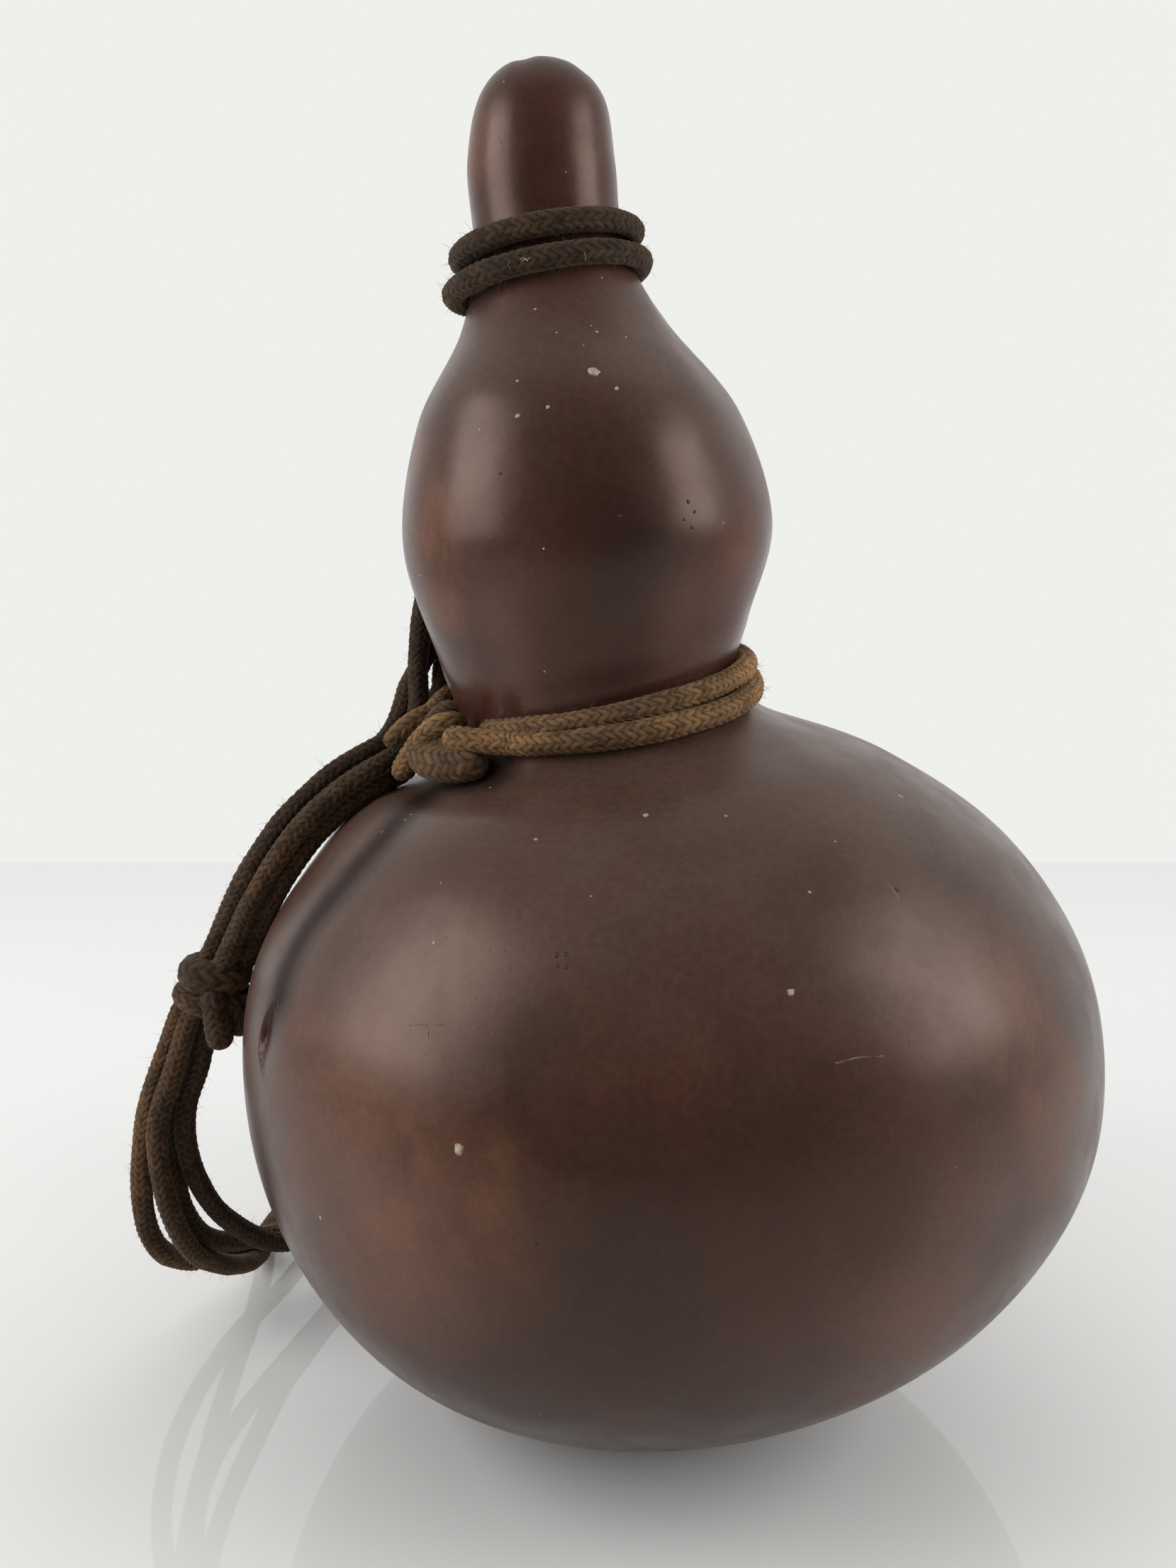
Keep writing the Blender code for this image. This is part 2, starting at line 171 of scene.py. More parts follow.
def ring_surface(rows, first, last, turns_uv, run_uv, shift_uv, **values):
    """A closed surface from rings: rows[i, j] is place j of ring i.

    Ring i joins ring i + 1 by quads, and fans of triangles join the outer rings to the points
    first and last. The UV map is (share of the turn * turns_uv + the ring's shift, the ring's
    run). Each extra value is one number for each place of each ring, kept as an attribute.
    """
    rings, sides = rows.shape[:2]
    points = np.vstack([[first], rows.reshape(-1, 3), [last]])
    ring, place = np.meshgrid(np.arange(rings - 1), np.arange(sides), indexing="ij")
    here = 1 + ring * sides + place
    beside = 1 + ring * sides + (place + 1) % sides
    quads = np.stack([here, beside, beside + sides, here + sides], axis=-1).reshape(-1, 4)
    corner = np.arange(sides)
    top = len(points) - 1
    base = top - sides
    start_fan = np.stack([0 * corner, 1 + (corner + 1) % sides, 1 + corner], axis=-1)
    end_fan = np.stack([0 * corner + top, base + corner, base + (corner + 1) % sides], axis=-1)
    step = turns_uv / sides
    u = place * step + shift_uv[ring]
    far_u = place * step + shift_uv[ring + 1]
    low = run_uv[ring]
    high = run_uv[ring + 1]
    turn = corner * step
    first_run = run_uv[0]
    last_run = run_uv[-1]
    uv = [corner_uv((u, low), (u + step, low), (far_u + step, high), (far_u, high)),
          corner_uv((turn, first_run), (turn + step, first_run), (turn, first_run)),
          corner_uv((turn, last_run), (turn, last_run), (turn + step, last_run))]
    kept = {}
    for name, value in values.items():
        full = np.broadcast_to(value, (rings, sides))
        kept[name] = np.concatenate([[full[0].mean()], full.ravel(), [full[-1].mean()]])
    return {"points": points, "quads": quads, "triangles": np.vstack([start_fan, end_fan]),
            "uv": np.concatenate(uv), "values": kept}


def make_piece(name, surfaces, material):
    """One object from one or more surfaces, in place, riding on the body."""
    starts = np.cumsum([0] + [len(part["points"]) for part in surfaces])
    points = np.vstack([part["points"] for part in surfaces])
    loops = []
    sizes = []
    for part, first in zip(surfaces, starts):
        for faces in (part["quads"], part["triangles"]):
            loops.append((faces + first).ravel())
            sizes.append(np.full(len(faces), faces.shape[1]))
    loops = np.concatenate(loops)
    sizes = np.concatenate(sizes)
    mesh = bpy.data.meshes.new(name)
    mesh.vertices.add(len(points))
    mesh.vertices.foreach_set("co", points.ravel())
    mesh.loops.add(len(loops))
    mesh.loops.foreach_set("vertex_index", loops)
    mesh.polygons.add(len(sizes))
    mesh.polygons.foreach_set("loop_start", np.cumsum(sizes) - sizes)
    if all("uv" in part for part in surfaces):
        layer = mesh.uv_layers.new(name="pattern")
        layer.data.foreach_set("uv", np.concatenate([part["uv"] for part in surfaces]).ravel())
        for value in surfaces[0]["values"]:
            column = np.concatenate([part["values"][value] for part in surfaces])
            mesh.attributes.new(value, "FLOAT", "POINT").data.foreach_set("value", column)
    mesh.update(calc_edges=True)
    mesh.shade_smooth()
    mesh.materials.append(material)
    piece = new_object(name, mesh)
    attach(piece, BODY)
    print(f"{name}: {2 * (sizes == 4).sum() + (sizes == 3).sum()} triangles")
    return piece


# %% [markdown]
# ## Node helpers
#
# A finish is a tree of nodes. Short functions keep the trees readable: one sets or links the
# inputs of a node, one adds a node, one does sums, one mixes colours and one stretches a
# range. The effects that several finishes share are node groups with named inputs, built once.

# %% Node helpers
def fill(tree, node, inputs):
    """Sets inputs of a node to values, or links them to the outputs of other nodes."""
    for key, value in inputs.items():
        if isinstance(value, bpy.types.NodeSocket):
            tree.links.new(value, node.inputs[key])
        else:
            node.inputs[key].default_value = value


def put(tree, kind, inputs, output=0, **settings):
    """Adds a node, fills its inputs and returns one of its outputs."""
    node = tree.nodes.new(kind)
    for key, value in settings.items():
        setattr(node, key, value)
    fill(tree, node, inputs)
    return node.outputs[output]


def sums(tree, operation, *values):
    """One step of arithmetic on numbers."""
    return put(tree, "ShaderNodeMath", dict(enumerate(values)), operation=operation)


def blend(tree, share, one, other, mode="MIX"):
    """A mix of two colours by a share from 0 to 1."""
    return put(tree, "ShaderNodeMix", {0: share, 6: one, 7: other}, 2, data_type="RGBA",
               blend_type=mode)


def spread(tree, value, low, high, to_low=0.0, to_high=1.0):
    """Stretches low..high to to_low..to_high with soft ends."""
    return put(tree, "ShaderNodeMapRange", {0: value, 1: low, 2: high, 3: to_low, 4: to_high},
               interpolation_type="SMOOTHSTEP")


def group_tree(name, inputs, outputs):
    """An empty node group with named sockets. Returns it with its input and output nodes."""
    tree = bpy.data.node_groups.new(name, "ShaderNodeTree")
    for label, kind in inputs:
        tree.interface.new_socket(label, in_out="INPUT", socket_type="NodeSocket" + kind)
    for label, kind in outputs:
        tree.interface.new_socket(label, in_out="OUTPUT", socket_type="NodeSocket" + kind)
    return tree, tree.nodes.new("NodeGroupInput"), tree.nodes.new("NodeGroupOutput")


def use(tree, group, inputs, output=0):
    """Places a group in a tree."""
    return put(tree, "ShaderNodeGroup", inputs, output, node_tree=group)


def new_material(name):
    """A material, its tree, its Principled shader, and its Object coordinates."""
    material = bpy.data.materials.new(name)
    material.use_nodes = True
    tree = material.node_tree
    place = put(tree, "ShaderNodeTexCoord", {}, "Object")
    return material, tree, tree.nodes["Principled BSDF"], place


# %% Shared effects: mottle, patch, and settled dust with a painted sheen on upward faces
mottle, ends, out = group_tree(
    "mottle", [("Place", "Vector"), ("Scale", "Float"), ("Low", "Float"), ("High", "Float")],
    [("Mask", "Float")])
noise = put(mottle, "ShaderNodeTexNoise",
            {"Vector": ends.outputs["Place"], "Scale": ends.outputs["Scale"],
             "Detail": 4.0, "Roughness": 0.6})
fill(mottle, out, {"Mask": spread(mottle, noise, ends.outputs["Low"], ends.outputs["High"])})


def mottled(tree, place, scale, low=0.3, high=0.7):
    """Noise in patches of about 1 / scale metres, spread from 0 at low to 1 at high."""
    return use(tree, mottle, {"Place": place, "Scale": scale, "Low": low, "High": high})


patch, ends, out = group_tree(
    "patch", [("Place", "Vector"), ("Centre", "Vector"), ("Reach", "Float")],
    [("Mask", "Float")])
apart = put(patch, "ShaderNodeVectorMath",
            {0: ends.outputs["Place"], 1: ends.outputs["Centre"]}, 1, operation="DISTANCE")
ragged = put(patch, "ShaderNodeTexNoise",
             {"Vector": ends.outputs["Place"], "Scale": 60.0, "Detail": 3.0})
ragged = sums(patch, "MULTIPLY", sums(patch, "SUBTRACT", ragged, 0.5), 0.9)
share = sums(patch, "ADD", sums(patch, "DIVIDE", apart, ends.outputs["Reach"]), ragged)
fill(patch, out, {"Mask": spread(patch, share, 0.25, 1.1, 1.0, 0.0)})

# Faces that look up get a grey-brown haze that is partly real dust and partly a painted sheen, a
# painted reflection of the light above
dust_and_sheen_group, ends, out = group_tree(
    "dust_and_painted_sheen", [("Place", "Vector"), ("Up", "Float"), ("Scale", "Float")],
    [("Mask", "Float")])
facing = spread(dust_and_sheen_group, ends.outputs["Up"], -0.1, 0.9)
uneven = mottled(dust_and_sheen_group, ends.outputs["Place"], ends.outputs["Scale"])
uneven = sums(dust_and_sheen_group, "MULTIPLY_ADD", uneven, 0.6, 0.4)
fill(dust_and_sheen_group, out, {"Mask": sums(dust_and_sheen_group, "MULTIPLY", facing, uneven)})


def two_tone_finish(name, scale, dark, pale, roughness):
    """A plain finish whose colour varies between two."""
    material, tree, shader, place = new_material(name)
    colour = blend(tree, mottled(tree, place, scale), dark, pale)
    fill(tree, shader, {"Base Color": colour, "Roughness": roughness})
    return material


# %% [markdown]
# ## The rind
#
# The gourd grew round a line that leans a little, so each ring of the surface has a height, a
# radius, a sideways place and a tilt, read from a short listed profile. A Screw modifier would
# give a perfect turned body. A grid of rings can lean, and it can take what makes a grown thing:
# a slow waviness, a shallow dimple, a pinched fold near the left edge, and the groove and notch
# of the crown. The columns stand closer near the fold, which is sharper than the rest.

# %% Rind shape
PROFILE = [
    (0, 0, 0, 0), (27, 0, 0, 0), (60, 16, -1.5, 0), (87, 42, 3.5, 0), (99, 75, 6, 0),
    (96, 108, 6, 0), (80.5, 134, 5.5, 1), (61, 149, -2, 5), (38, 158.5, -9, 11),
    (33, 167, -10, 11), (36, 180, -11, 9), (42, 205, -13, 4), (36.5, 230, -15.5, 3),
    (23, 250, -18.5, 3), (16.8, 266, -21.5, 3), (16.2, 285, -23, 1), (13.4, 298.5, -22.8, 0),
    (7.5, 304.2, -23, 0), (0, 305, -23, 0),
]
RIND_RINGS = 300
RIND_COLUMNS = 300
FOLD_PLACE = np.array((-79.6, -46.6, 102.0))
FOLD_DEPTH = 1.8
FOLD_HEIGHT = 5.5
FOLD_LIP = 1.1
FOLD_REACH = 5.0
FOLD_BEND = 0.09
DIMPLE_X = -14.5
DIMPLE_Z = 102.0
DIMPLE_DEPTH = 0.5
DIMPLE_WIDTH = 9
DIMPLE_HEIGHT = 4
# Height of each wave, how many go round, the length over which they climb, and their start
WAVES = [(0.35, 3, 31, 0), (0.25, 5, -19, 1), (0.18, 2, 7.5, 0)]
CROWN_PLACE = np.array((-23.0, 0.0, 305.0))
CROWN_REACH = 11
GROOVE_X = -26.4
GROOVE_DEPTH = 0.6
GROOVE_WIDTH = 2.0
NOTCH_PLACE = np.array((-14.2, -1.0, 302.0))
NOTCH_DEPTH = 0.5
NOTCH_SIZE = np.array((1.5, 4.0, 3.0))


def column_angles():
    """Angles round the gourd: seven times as many columns per degree at the fold as elsewhere."""
    fine = np.linspace(0, 2 * math.pi, 2000)
    fold_angle = math.atan2(FOLD_PLACE[1], FOLD_PLACE[0]) % (2 * math.pi)
    crowding = 1 + 6 * np.exp(-((fine - fold_angle) / math.radians(8))**2)
    run = np.concatenate([[0], np.cumsum((crowding[1:] + crowding[:-1]) / 2)])
    return np.interp(np.linspace(0, run[-1], RIND_COLUMNS, endpoint=False), run, fine)


def ring_places():
    """Ring i, column j: centre + radius * (cos, sin) of the column's angle, tilted sideways."""
    radius, height, centre, tilt = smooth_curve(PROFILE, RIND_RINGS + 1).T[:, :, None]
    angle = column_angles()[None, :]
    lean = np.radians(tilt)
    out = radius * np.cos(angle)
    return np.stack([centre + out * np.cos(lean), radius * np.sin(angle),
                     np.maximum(height + out * np.sin(lean), 0)], axis=-1)


def outward(places):
    """The unit normal: the step round the ring crossed with the step to the next ring."""
    along = np.gradient(places, axis=0)
    around = np.roll(places, -1, axis=1) - np.roll(places, 1, axis=1)
    normal = np.cross(around, along)
    size = np.linalg.norm(normal, axis=-1, keepdims=True)
    return normal / np.maximum(size, 1e-9)


def fold_rise(places):
    """A pinched fold: the skin drops over a short lip and climbs back slowly in front of it.

    Across is measured level round the gourd, towards the front, from a line that bows like
    a bracket, and the drop fades up and down with a bell curve.
    """
    away = places - FOLD_PLACE
    level = unit(np.array((-FOLD_PLACE[1], FOLD_PLACE[0], 0)))
    upward = away[..., 2]
    across = away @ level - FOLD_BEND * upward**2
    near = np.exp(-(np.linalg.norm(away, axis=-1) / (2.2 * FOLD_HEIGHT))**4)
    drop = smooth_step(across / FOLD_LIP) * np.exp(-np.maximum(across, 0) / FOLD_REACH)
    return -FOLD_DEPTH * drop * np.exp(-(upward / FOLD_HEIGHT)**2) * near


def rind_rise(places):
    """Everything that isn't round: slow waves, the dimple, the fold and the crown's groove."""
    x, y, z = np.moveaxis(places, -1, 0)
    angle = np.arctan2(y, x + 5)
    waves = sum(height * np.sin(count * angle + z / climb + start)
                for height, count, climb, start in WAVES)
    waves = waves * smooth_step(z / 40) * smooth_step((CROWN_PLACE[2] - z) / 60)
    dimple = -DIMPLE_DEPTH * np.exp(-((x - DIMPLE_X) / DIMPLE_WIDTH)**2
                                    - ((z - DIMPLE_Z) / DIMPLE_HEIGHT)**2) * (y < 0)
    near_crown = np.exp(-(np.linalg.norm(places - CROWN_PLACE, axis=-1) / CROWN_REACH)**2)
    groove = -GROOVE_DEPTH * near_crown * np.exp(-((x - GROOVE_X) / GROOVE_WIDTH)**2)
    notch = -NOTCH_DEPTH * np.exp(-(((places - NOTCH_PLACE) / NOTCH_SIZE)**2).sum(axis=-1))
    return waves + dimple + fold_rise(places) + groove + notch


places = ring_places()
places = places + outward(places) * rind_rise(places)[..., None]
places[..., 2] = np.maximum(places[..., 2], 0)
rind_surface = ring_surface(places[1:-1] * MM, places[0].mean(axis=0) * MM,
                            places[-1].mean(axis=0) * MM, 1.0,
                            np.linspace(0, 1, RIND_RINGS - 1), np.zeros(RIND_RINGS - 1))
rind_finish, rind_tree, rind_shader, rind_place = new_material("rind_finish")
rind = make_piece("rind", [rind_surface], rind_finish)
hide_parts("gourd")

# %% [markdown]
# ## Finding a mark's place on the rind
#
# Scars, specks and stains are known by where they show in the picture. A ray from the camera
# through that pixel meets the rind at one point, and that point is where the mark sits.

# %% Ray onto the rind
bpy.context.view_layer.update()


def on_rind(pixel):
    """The point of the rind seen at a pixel, and its normal."""
    hit, place, normal, _ = rind.ray_cast(CAMERA_PLACE.tolist(), ray_through(pixel).tolist())
    if not hit:
        raise ValueError(f"no rind at {pixel}")
    return np.array(place), np.array(normal)


# %% [markdown]
# ## The finish of the rind
#
# The rind is a dark red-brown that changes slowly: warm orange where it is thin or worn, nearly
# black in streaks, and veiled where it faces up by a grey-brown haze that is partly settled dust
# and partly a painted sheen. Its sheen is that of an old waxed skin, broad and a little uneven.
# Colour comes from noise of several sizes, with stains placed where the real ones are, though
# some dark ones are painted shade. A band of painted shadow and reflection runs beside the
# hanging cord, and painted shade darkens the underside. A painted image would be quicker, but
# noise stays sharp from every side.

# %% Rind finish
RIND_DARK = (0.036, 0.0135, 0.0095, 1)
RIND_RED = (0.064, 0.0215, 0.0135, 1)
RIND_ORANGE = (0.170, 0.060, 0.026, 1)
RIND_NIGHT = (0.017, 0.009, 0.008, 1)
RIND_HAZE = (0.092, 0.057, 0.042, 1)
# Pixel and reach in millimetres of each warm, dark and hazy stain, some dark ones being painted
# shade, and along the band of painted shadow and reflection that runs beside the hanging cord
WARM_STAINS = [
    ((600, 730), 17), ((588, 660), 9), ((490, 1570), 30), ((430, 1490), 16), ((640, 1700), 26),
    ((1450, 1450), 24), ((1495, 1560), 20), ((670, 1600), 12), ((671, 200), 9), ((1045, 780), 12),
    ((1290, 1900), 22), ((560, 1780), 24), ((620, 850), 9),
]
# Some of the dark stains are painted shade, at the dimple and under the waist; the others darken
# the rind's own colour
DARK_STAINS_AND_SHADE = [
    ((1110, 1640), 26), ((760, 1452), 9), ((860, 1330), 12), ((700, 1540), 12), ((690, 930), 7),
    ((1230, 1700), 16), ((720, 1090), 9), ((900, 800), 16), ((880, 1750), 30),
]
HAZE_STAINS = [((905, 455), 9), ((885, 505), 9), ((920, 520), 8)]
CORD_SHADOW_BAND = [((700, 1096), 8), ((640, 1104), 9), ((604, 1120), 9), ((574, 1146), 9),
               ((520, 1204), 9), ((467, 1267), 9), ((430, 1315), 9), ((401, 1374), 9),
               ((388, 1429), 8), ((380, 1465), 5)]
BAND_POINTS = 48
# Height in metres below which the rind is slowly painted darker and duller, as painted shade on
# the underside
SHADED_UNDERSIDE_TOP = 0.105


def stain_mask(tree, place, stains):
    """The strongest of several patches at each point."""
    total = 0.0
    for pixel, reach in stains:
        centre, _ = on_rind(pixel)
        one = use(tree, patch, {"Place": place, "Centre": centre.tolist(), "Reach": reach * MM})
        total = sums(tree, "MAXIMUM", one, total)
    return total


def band_mask(tree, place, band):
    """A soft band along a line of points, here the painted cord shadow: the least of many
    distances, each over its reach.
    """
    least = 2.0
    for x, y, reach in smooth_curve([(*pixel, reach) for pixel, reach in band], BAND_POINTS):
        centre, _ = on_rind((x, y))
        apart = put(tree, "ShaderNodeVectorMath", {0: place, 1: centre.tolist()}, 1,
                    operation="DISTANCE")
        least = sums(tree, "MINIMUM", sums(tree, "DIVIDE", apart, float(reach) * MM), least)
    return spread(tree, least, 0.1, 1.1, 1.0, 0.0)


def finish_rind(tree, shader, place):
    """Lays the colours of the rind over one another, then its sheen and its pores."""
    normal = put(tree, "ShaderNodeTexCoord", {}, "Normal")
    up = put(tree, "ShaderNodeSeparateXYZ", {0: normal}, 2)
    long_place = put(tree, "ShaderNodeMapping", {"Vector": place, "Scale": (1, 1, 0.35)})
    broad = mottled(tree, place, 13.0, 0.35, 0.65)
    streaks = mottled(tree, long_place, 34.0, 0.45, 0.72)
    blotches = mottled(tree, place, 85.0, 0.35, 0.7)
    grain = mottled(tree, place, 700.0, 0.25, 0.75)
    dust_and_sheen = use(tree, dust_and_sheen_group, {"Place": place, "Up": up, "Scale": 24.0})
    # Painted shadow and reflection of the hanging strands, as a dark band on the rind
    painted_cord_shadow = band_mask(tree, place, CORD_SHADOW_BAND)
    height_up = put(tree, "ShaderNodeSeparateXYZ", {0: place}, 2)
    # Painted shade on the underside: darker towards the table
    painted_underside_shade = spread(tree, height_up, 0.0, SHADED_UNDERSIDE_TOP, 1.0, 0.0)
    # Mask, share and tint of each layer, from the first laid to the last
    layers = [
        (streaks, 0.45, RIND_NIGHT),
        (stain_mask(tree, place, WARM_STAINS), sums(tree, "MULTIPLY_ADD", blotches, 0.35, 0.25),
         RIND_ORANGE),
        # Dark stains, some of them painted shade
        (stain_mask(tree, place, DARK_STAINS_AND_SHADE), 0.5, RIND_NIGHT),
        # Haze on upward faces: settled dust and a painted sheen
        (dust_and_sheen, 0.8, RIND_HAZE),
        (stain_mask(tree, place, HAZE_STAINS), 0.6, RIND_HAZE),
        # Painted shadow and reflection of the hanging cord
        (painted_cord_shadow, 0.85, RIND_NIGHT),
        # Painted shade on the underside
        (painted_underside_shade, 0.5, RIND_NIGHT),
    ]
    colour = blend(tree, broad, RIND_DARK, RIND_RED)
    for mask, share, tint in layers:
        colour = blend(tree, sums(tree, "MULTIPLY", mask, share), colour, tint)
    shade = spread(tree, grain, 0.0, 1.0, 0.88, 1.12)
    colour = blend(tree, 1.0, colour, put(tree, "ShaderNodeCombineColor",
                                          {0: shade, 1: shade, 2: shade}), "MULTIPLY")
    gloss = sums(tree, "MULTIPLY_ADD", blotches, 0.09, 0.27)
    gloss = sums(tree, "MULTIPLY_ADD", dust_and_sheen, 0.10, gloss)
    # Along the painted cord shadow the specular level drops, which paints out the reflection there
    shine = sums(tree, "MULTIPLY_ADD", painted_cord_shadow, -0.40, 0.46)
    # The painted underside shade also lowers the specular level
    shine = sums(tree, "MULTIPLY", shine, spread(tree, painted_underside_shade, 0.0, 1.0, 1.0, 0.35))
    pores = put(tree, "ShaderNodeTexVoronoi", {"Vector": place, "Scale": 420.0})
    height = sums(tree, "MULTIPLY_ADD", grain, 0.5, spread(tree, pores, 0.05, 0.22))
    bump = put(tree, "ShaderNodeBump", {"Strength": 0.18, "Distance": 0.00006, "Height": height})
    fill(tree, shader, {"Base Color": colour, "Roughness": gloss, "Specular IOR Level": shine,
                        "Specular Tint": (1.0, 0.74, 0.62, 1), "Normal": bump})


finish_rind(rind_tree, rind_shader, rind_place)
print(f"rind finish: {len(WARM_STAINS)} warm and {len(DARK_STAINS_AND_SHADE)} dark stains")

# %% [markdown]
# ## Specks, pits and scratches
#
# Pale crumbs stick to the rind, and a few dark pinholes and hair-thin scratches break its
# sheen. They are about a millimetre across, finer than the rings of the rind, so each is a
# low blob of its own that follows the surface under it.

# %% Specks
PALE_SPECKS = [
    ((838, 524), 1.15), ((730, 586), 0.5), ((773, 574), 0.4), ((870, 548), 0.45),
    ((730, 537), 0.32), ((785, 469), 0.25), ((842, 468), 0.35), ((755, 436), 0.3),
    ((677, 606), 0.25), ((648, 1621), 1.0), ((911, 1150), 0.6), ((1024, 1151), 0.35),
    ((1116, 1400), 0.7), ((1270, 1123), 0.6), ((756, 1184), 0.4), ((452, 1718), 0.45),
    ((612, 1330), 0.3),
]
DARK_PITS = [
    ((875, 728), 0.4), ((971, 708), 0.45), ((980, 722), 0.4), ((965, 733), 0.35),
    ((976, 744), 0.4), ((785, 1347), 0.5), ((798, 1346), 0.45), ((786, 1362), 0.5),
    ((799, 1364), 0.45), ((706, 668), 0.3), ((755, 1755), 0.5), ((1265, 1255), 0.5),
]
SCRATCHES = [
    [(578, 1447), (600, 1445), (626, 1446)], [(603, 1447), (604, 1462), (602, 1476)],
    [(1180, 1500), (1210, 1492), (1245, 1490)], [(704, 196), (708, 206), (710, 214)],
    [(1252, 1246), (1262, 1258), (1268, 1268)],
]
SCRATCH_RADIUS = 0.2 * MM
SCRATCH_SPACING = 0.35 * MM
CRUMBS_ELSEWHERE = 70
BLOB_SIDES = 10


def blobs(centres, normals, radii, rng, lift=0.10):
    """Low closed blobs: an uneven rim, a raised middle on top and a sunk one underneath.

    Rim place k of a blob is centre + radius * (1 + a random quarter) * (cos, sin) of its
    angle, in two directions square to the normal.
    """
    count = len(centres)
    helper = np.where(np.abs(normals[:, 2:]) < 0.9, [[0.0, 0.0, 1.0]], [[1.0, 0.0, 0.0]])
    side = unit(np.cross(normals, helper))
    other = np.cross(normals, side)
    angle = np.linspace(0, 2 * math.pi, BLOB_SIDES, endpoint=False)[None, :, None]
    reach = radii[:, None, None] * (1 + 0.25 * rng.uniform(-1, 1, (count, BLOB_SIDES, 1)))
    rim = centres[:, None] + reach * turned(angle, side[:, None], other[:, None])
    top = centres + normals * (radii * lift)[:, None]
    under = centres - normals * (radii * 0.5)[:, None]
    points = np.concatenate([rim, top[:, None], under[:, None]], axis=1).reshape(-1, 3)
    corner = np.arange(BLOB_SIDES)
    after = (corner + 1) % BLOB_SIDES
    upper = np.stack([0 * corner + BLOB_SIDES, corner, after], axis=-1)
    lower = np.stack([0 * corner + BLOB_SIDES + 1, after, corner], axis=-1)
    one = np.vstack([upper, lower])
    first = (np.arange(count) * (BLOB_SIDES + 2))[:, None, None]
    return {"points": points, "quads": np.zeros((0, 4), int),
            "triangles": (one[None] + first).reshape(-1, 3)}


def marks_at(marks):
    """Centres, normals and radii in metres of marks given by pixel and millimetres."""
    found, facing = zip(*(on_rind(pixel) for pixel, _ in marks))
    return np.array(found), np.array(facing), np.array([radius for _, radius in marks]) * MM


def scratch_marks(lines):
    """A scratch is a row of blobs that nearly touch, along a line drawn on the rind."""
    centres = []
    normals = []
    for line in lines:
        found, facing = zip(*(on_rind(pixel) for pixel in line))
        count = max(3, round(route_length(found) / SCRATCH_SPACING))
        centres.append(smooth_curve(found, count))
        normals.append(smooth_curve(facing, count))
    return np.vstack(centres), unit(np.vstack(normals))


def crumbs_elsewhere(rng):
    """Small crumbs scattered over the whole rind, the sides and the back too."""
    # Without the rings that face the table and those of the tip
    inner = slice(RIND_COLUMNS * 30, -RIND_COLUMNS * 4)
    flat = places.reshape(-1, 3)[inner]
    normal = outward(places).reshape(-1, 3)[inner]
    chosen = rng.choice(len(flat), CRUMBS_ELSEWHERE, replace=False)
    return flat[chosen] * MM, normal[chosen], rng.uniform(0.12, 0.32, CRUMBS_ELSEWHERE) * MM


crumb_finish = two_tone_finish("crumb_finish", 900.0, (0.30, 0.22, 0.16, 1),
                               (0.52, 0.43, 0.33, 1), 0.8)
pit_finish = two_tone_finish("pit_finish", 900.0, (0.012, 0.008, 0.006, 1),
                             (0.035, 0.018, 0.012, 1), 0.6)
scratch_finish = two_tone_finish("scratch_finish", 500.0, (0.12, 0.07, 0.05, 1),
                                 (0.24, 0.17, 0.13, 1), 0.5)
rng = np.random.default_rng(7)
centres, normals, radii = (np.concatenate(pair) for pair in
                           zip(marks_at(PALE_SPECKS), crumbs_elsewhere(rng)))
make_piece("pale_crumbs", [blobs(centres, normals, radii, rng)], crumb_finish)
make_piece("pinholes", [blobs(*marks_at(DARK_PITS), rng, 0.04)], pit_finish)
centres, normals = scratch_marks(SCRATCHES)
radii = np.full(len(centres), SCRATCH_RADIUS)
make_piece("scratches", [blobs(centres, normals, radii, rng, 0.15)], scratch_finish)

# %% [markdown]
# ## A braided cord
#
# The cord is a round braid of yarns, five millimetres thick. Seen from outside, its stitches
# lie in columns that lean one way and then the other, so that they form rows of small Vs, as
# on an ear of wheat. A tube with a bump map would look flat along its edge. Here the Vs are
# in the tube's own radius, so they catch the light and break the outline too.
#
# The tube needs two directions square to its route at each point. They are carried from one
# point to the next with as little turning as possible, so the Vs don't spiral.

# %% Braid
CORD_RADIUS = 2.42
STITCH_LENGTH = 2.0
STITCH_COLUMNS = 10
STITCH_SLOPE = 1.0
YARN_HEIGHT = 0.34
RING_STEP = 0.33
CORD_SIDES = 40
ROUGHNESS = 0.035


def carried_directions(route):
    """Two unit directions square to the route, with the first kept as steady as it can be."""
    along = unit(np.gradient(route, axis=0))
    side = np.empty_like(along)
    direction = np.cross(along[0], (0.31, 0.52, 0.79))
    for step, heading in enumerate(along):
        direction = unit(direction - heading * (direction @ heading))
        side[step] = direction
    return side, np.cross(along, side)


def yarn_crown(column, stitch_run):
    """Height of the yarns from 0 in the grooves to 1 on the crowns.

    Fold goes from 0 to 1 and back over two columns. A stitch's place is the run along the
    cord plus fold times the slope, which makes the V. The crown is a rounded hump over each
    stitch, and it sinks where two columns meet.
    """
    fold = np.abs(column % 2 - 1)
    phase = (stitch_run + STITCH_SLOPE * fold) % 1
    hump = 1 - np.abs(2 * phase - 1)**2.5
    border = np.abs(column - np.round(column))
    return hump * (1 - 0.55 * np.exp(-(border / 0.16)**2))


def prolonged(points, before, after):
    """The same points, with one more straight ahead of either end, to reach into a knot."""
    points = np.asarray(points, float)
    head = points[0] + unit(points[0] - points[1]) * before
    tail = points[-1] + unit(points[-1] - points[-2]) * after
    return np.vstack([head, points, tail])


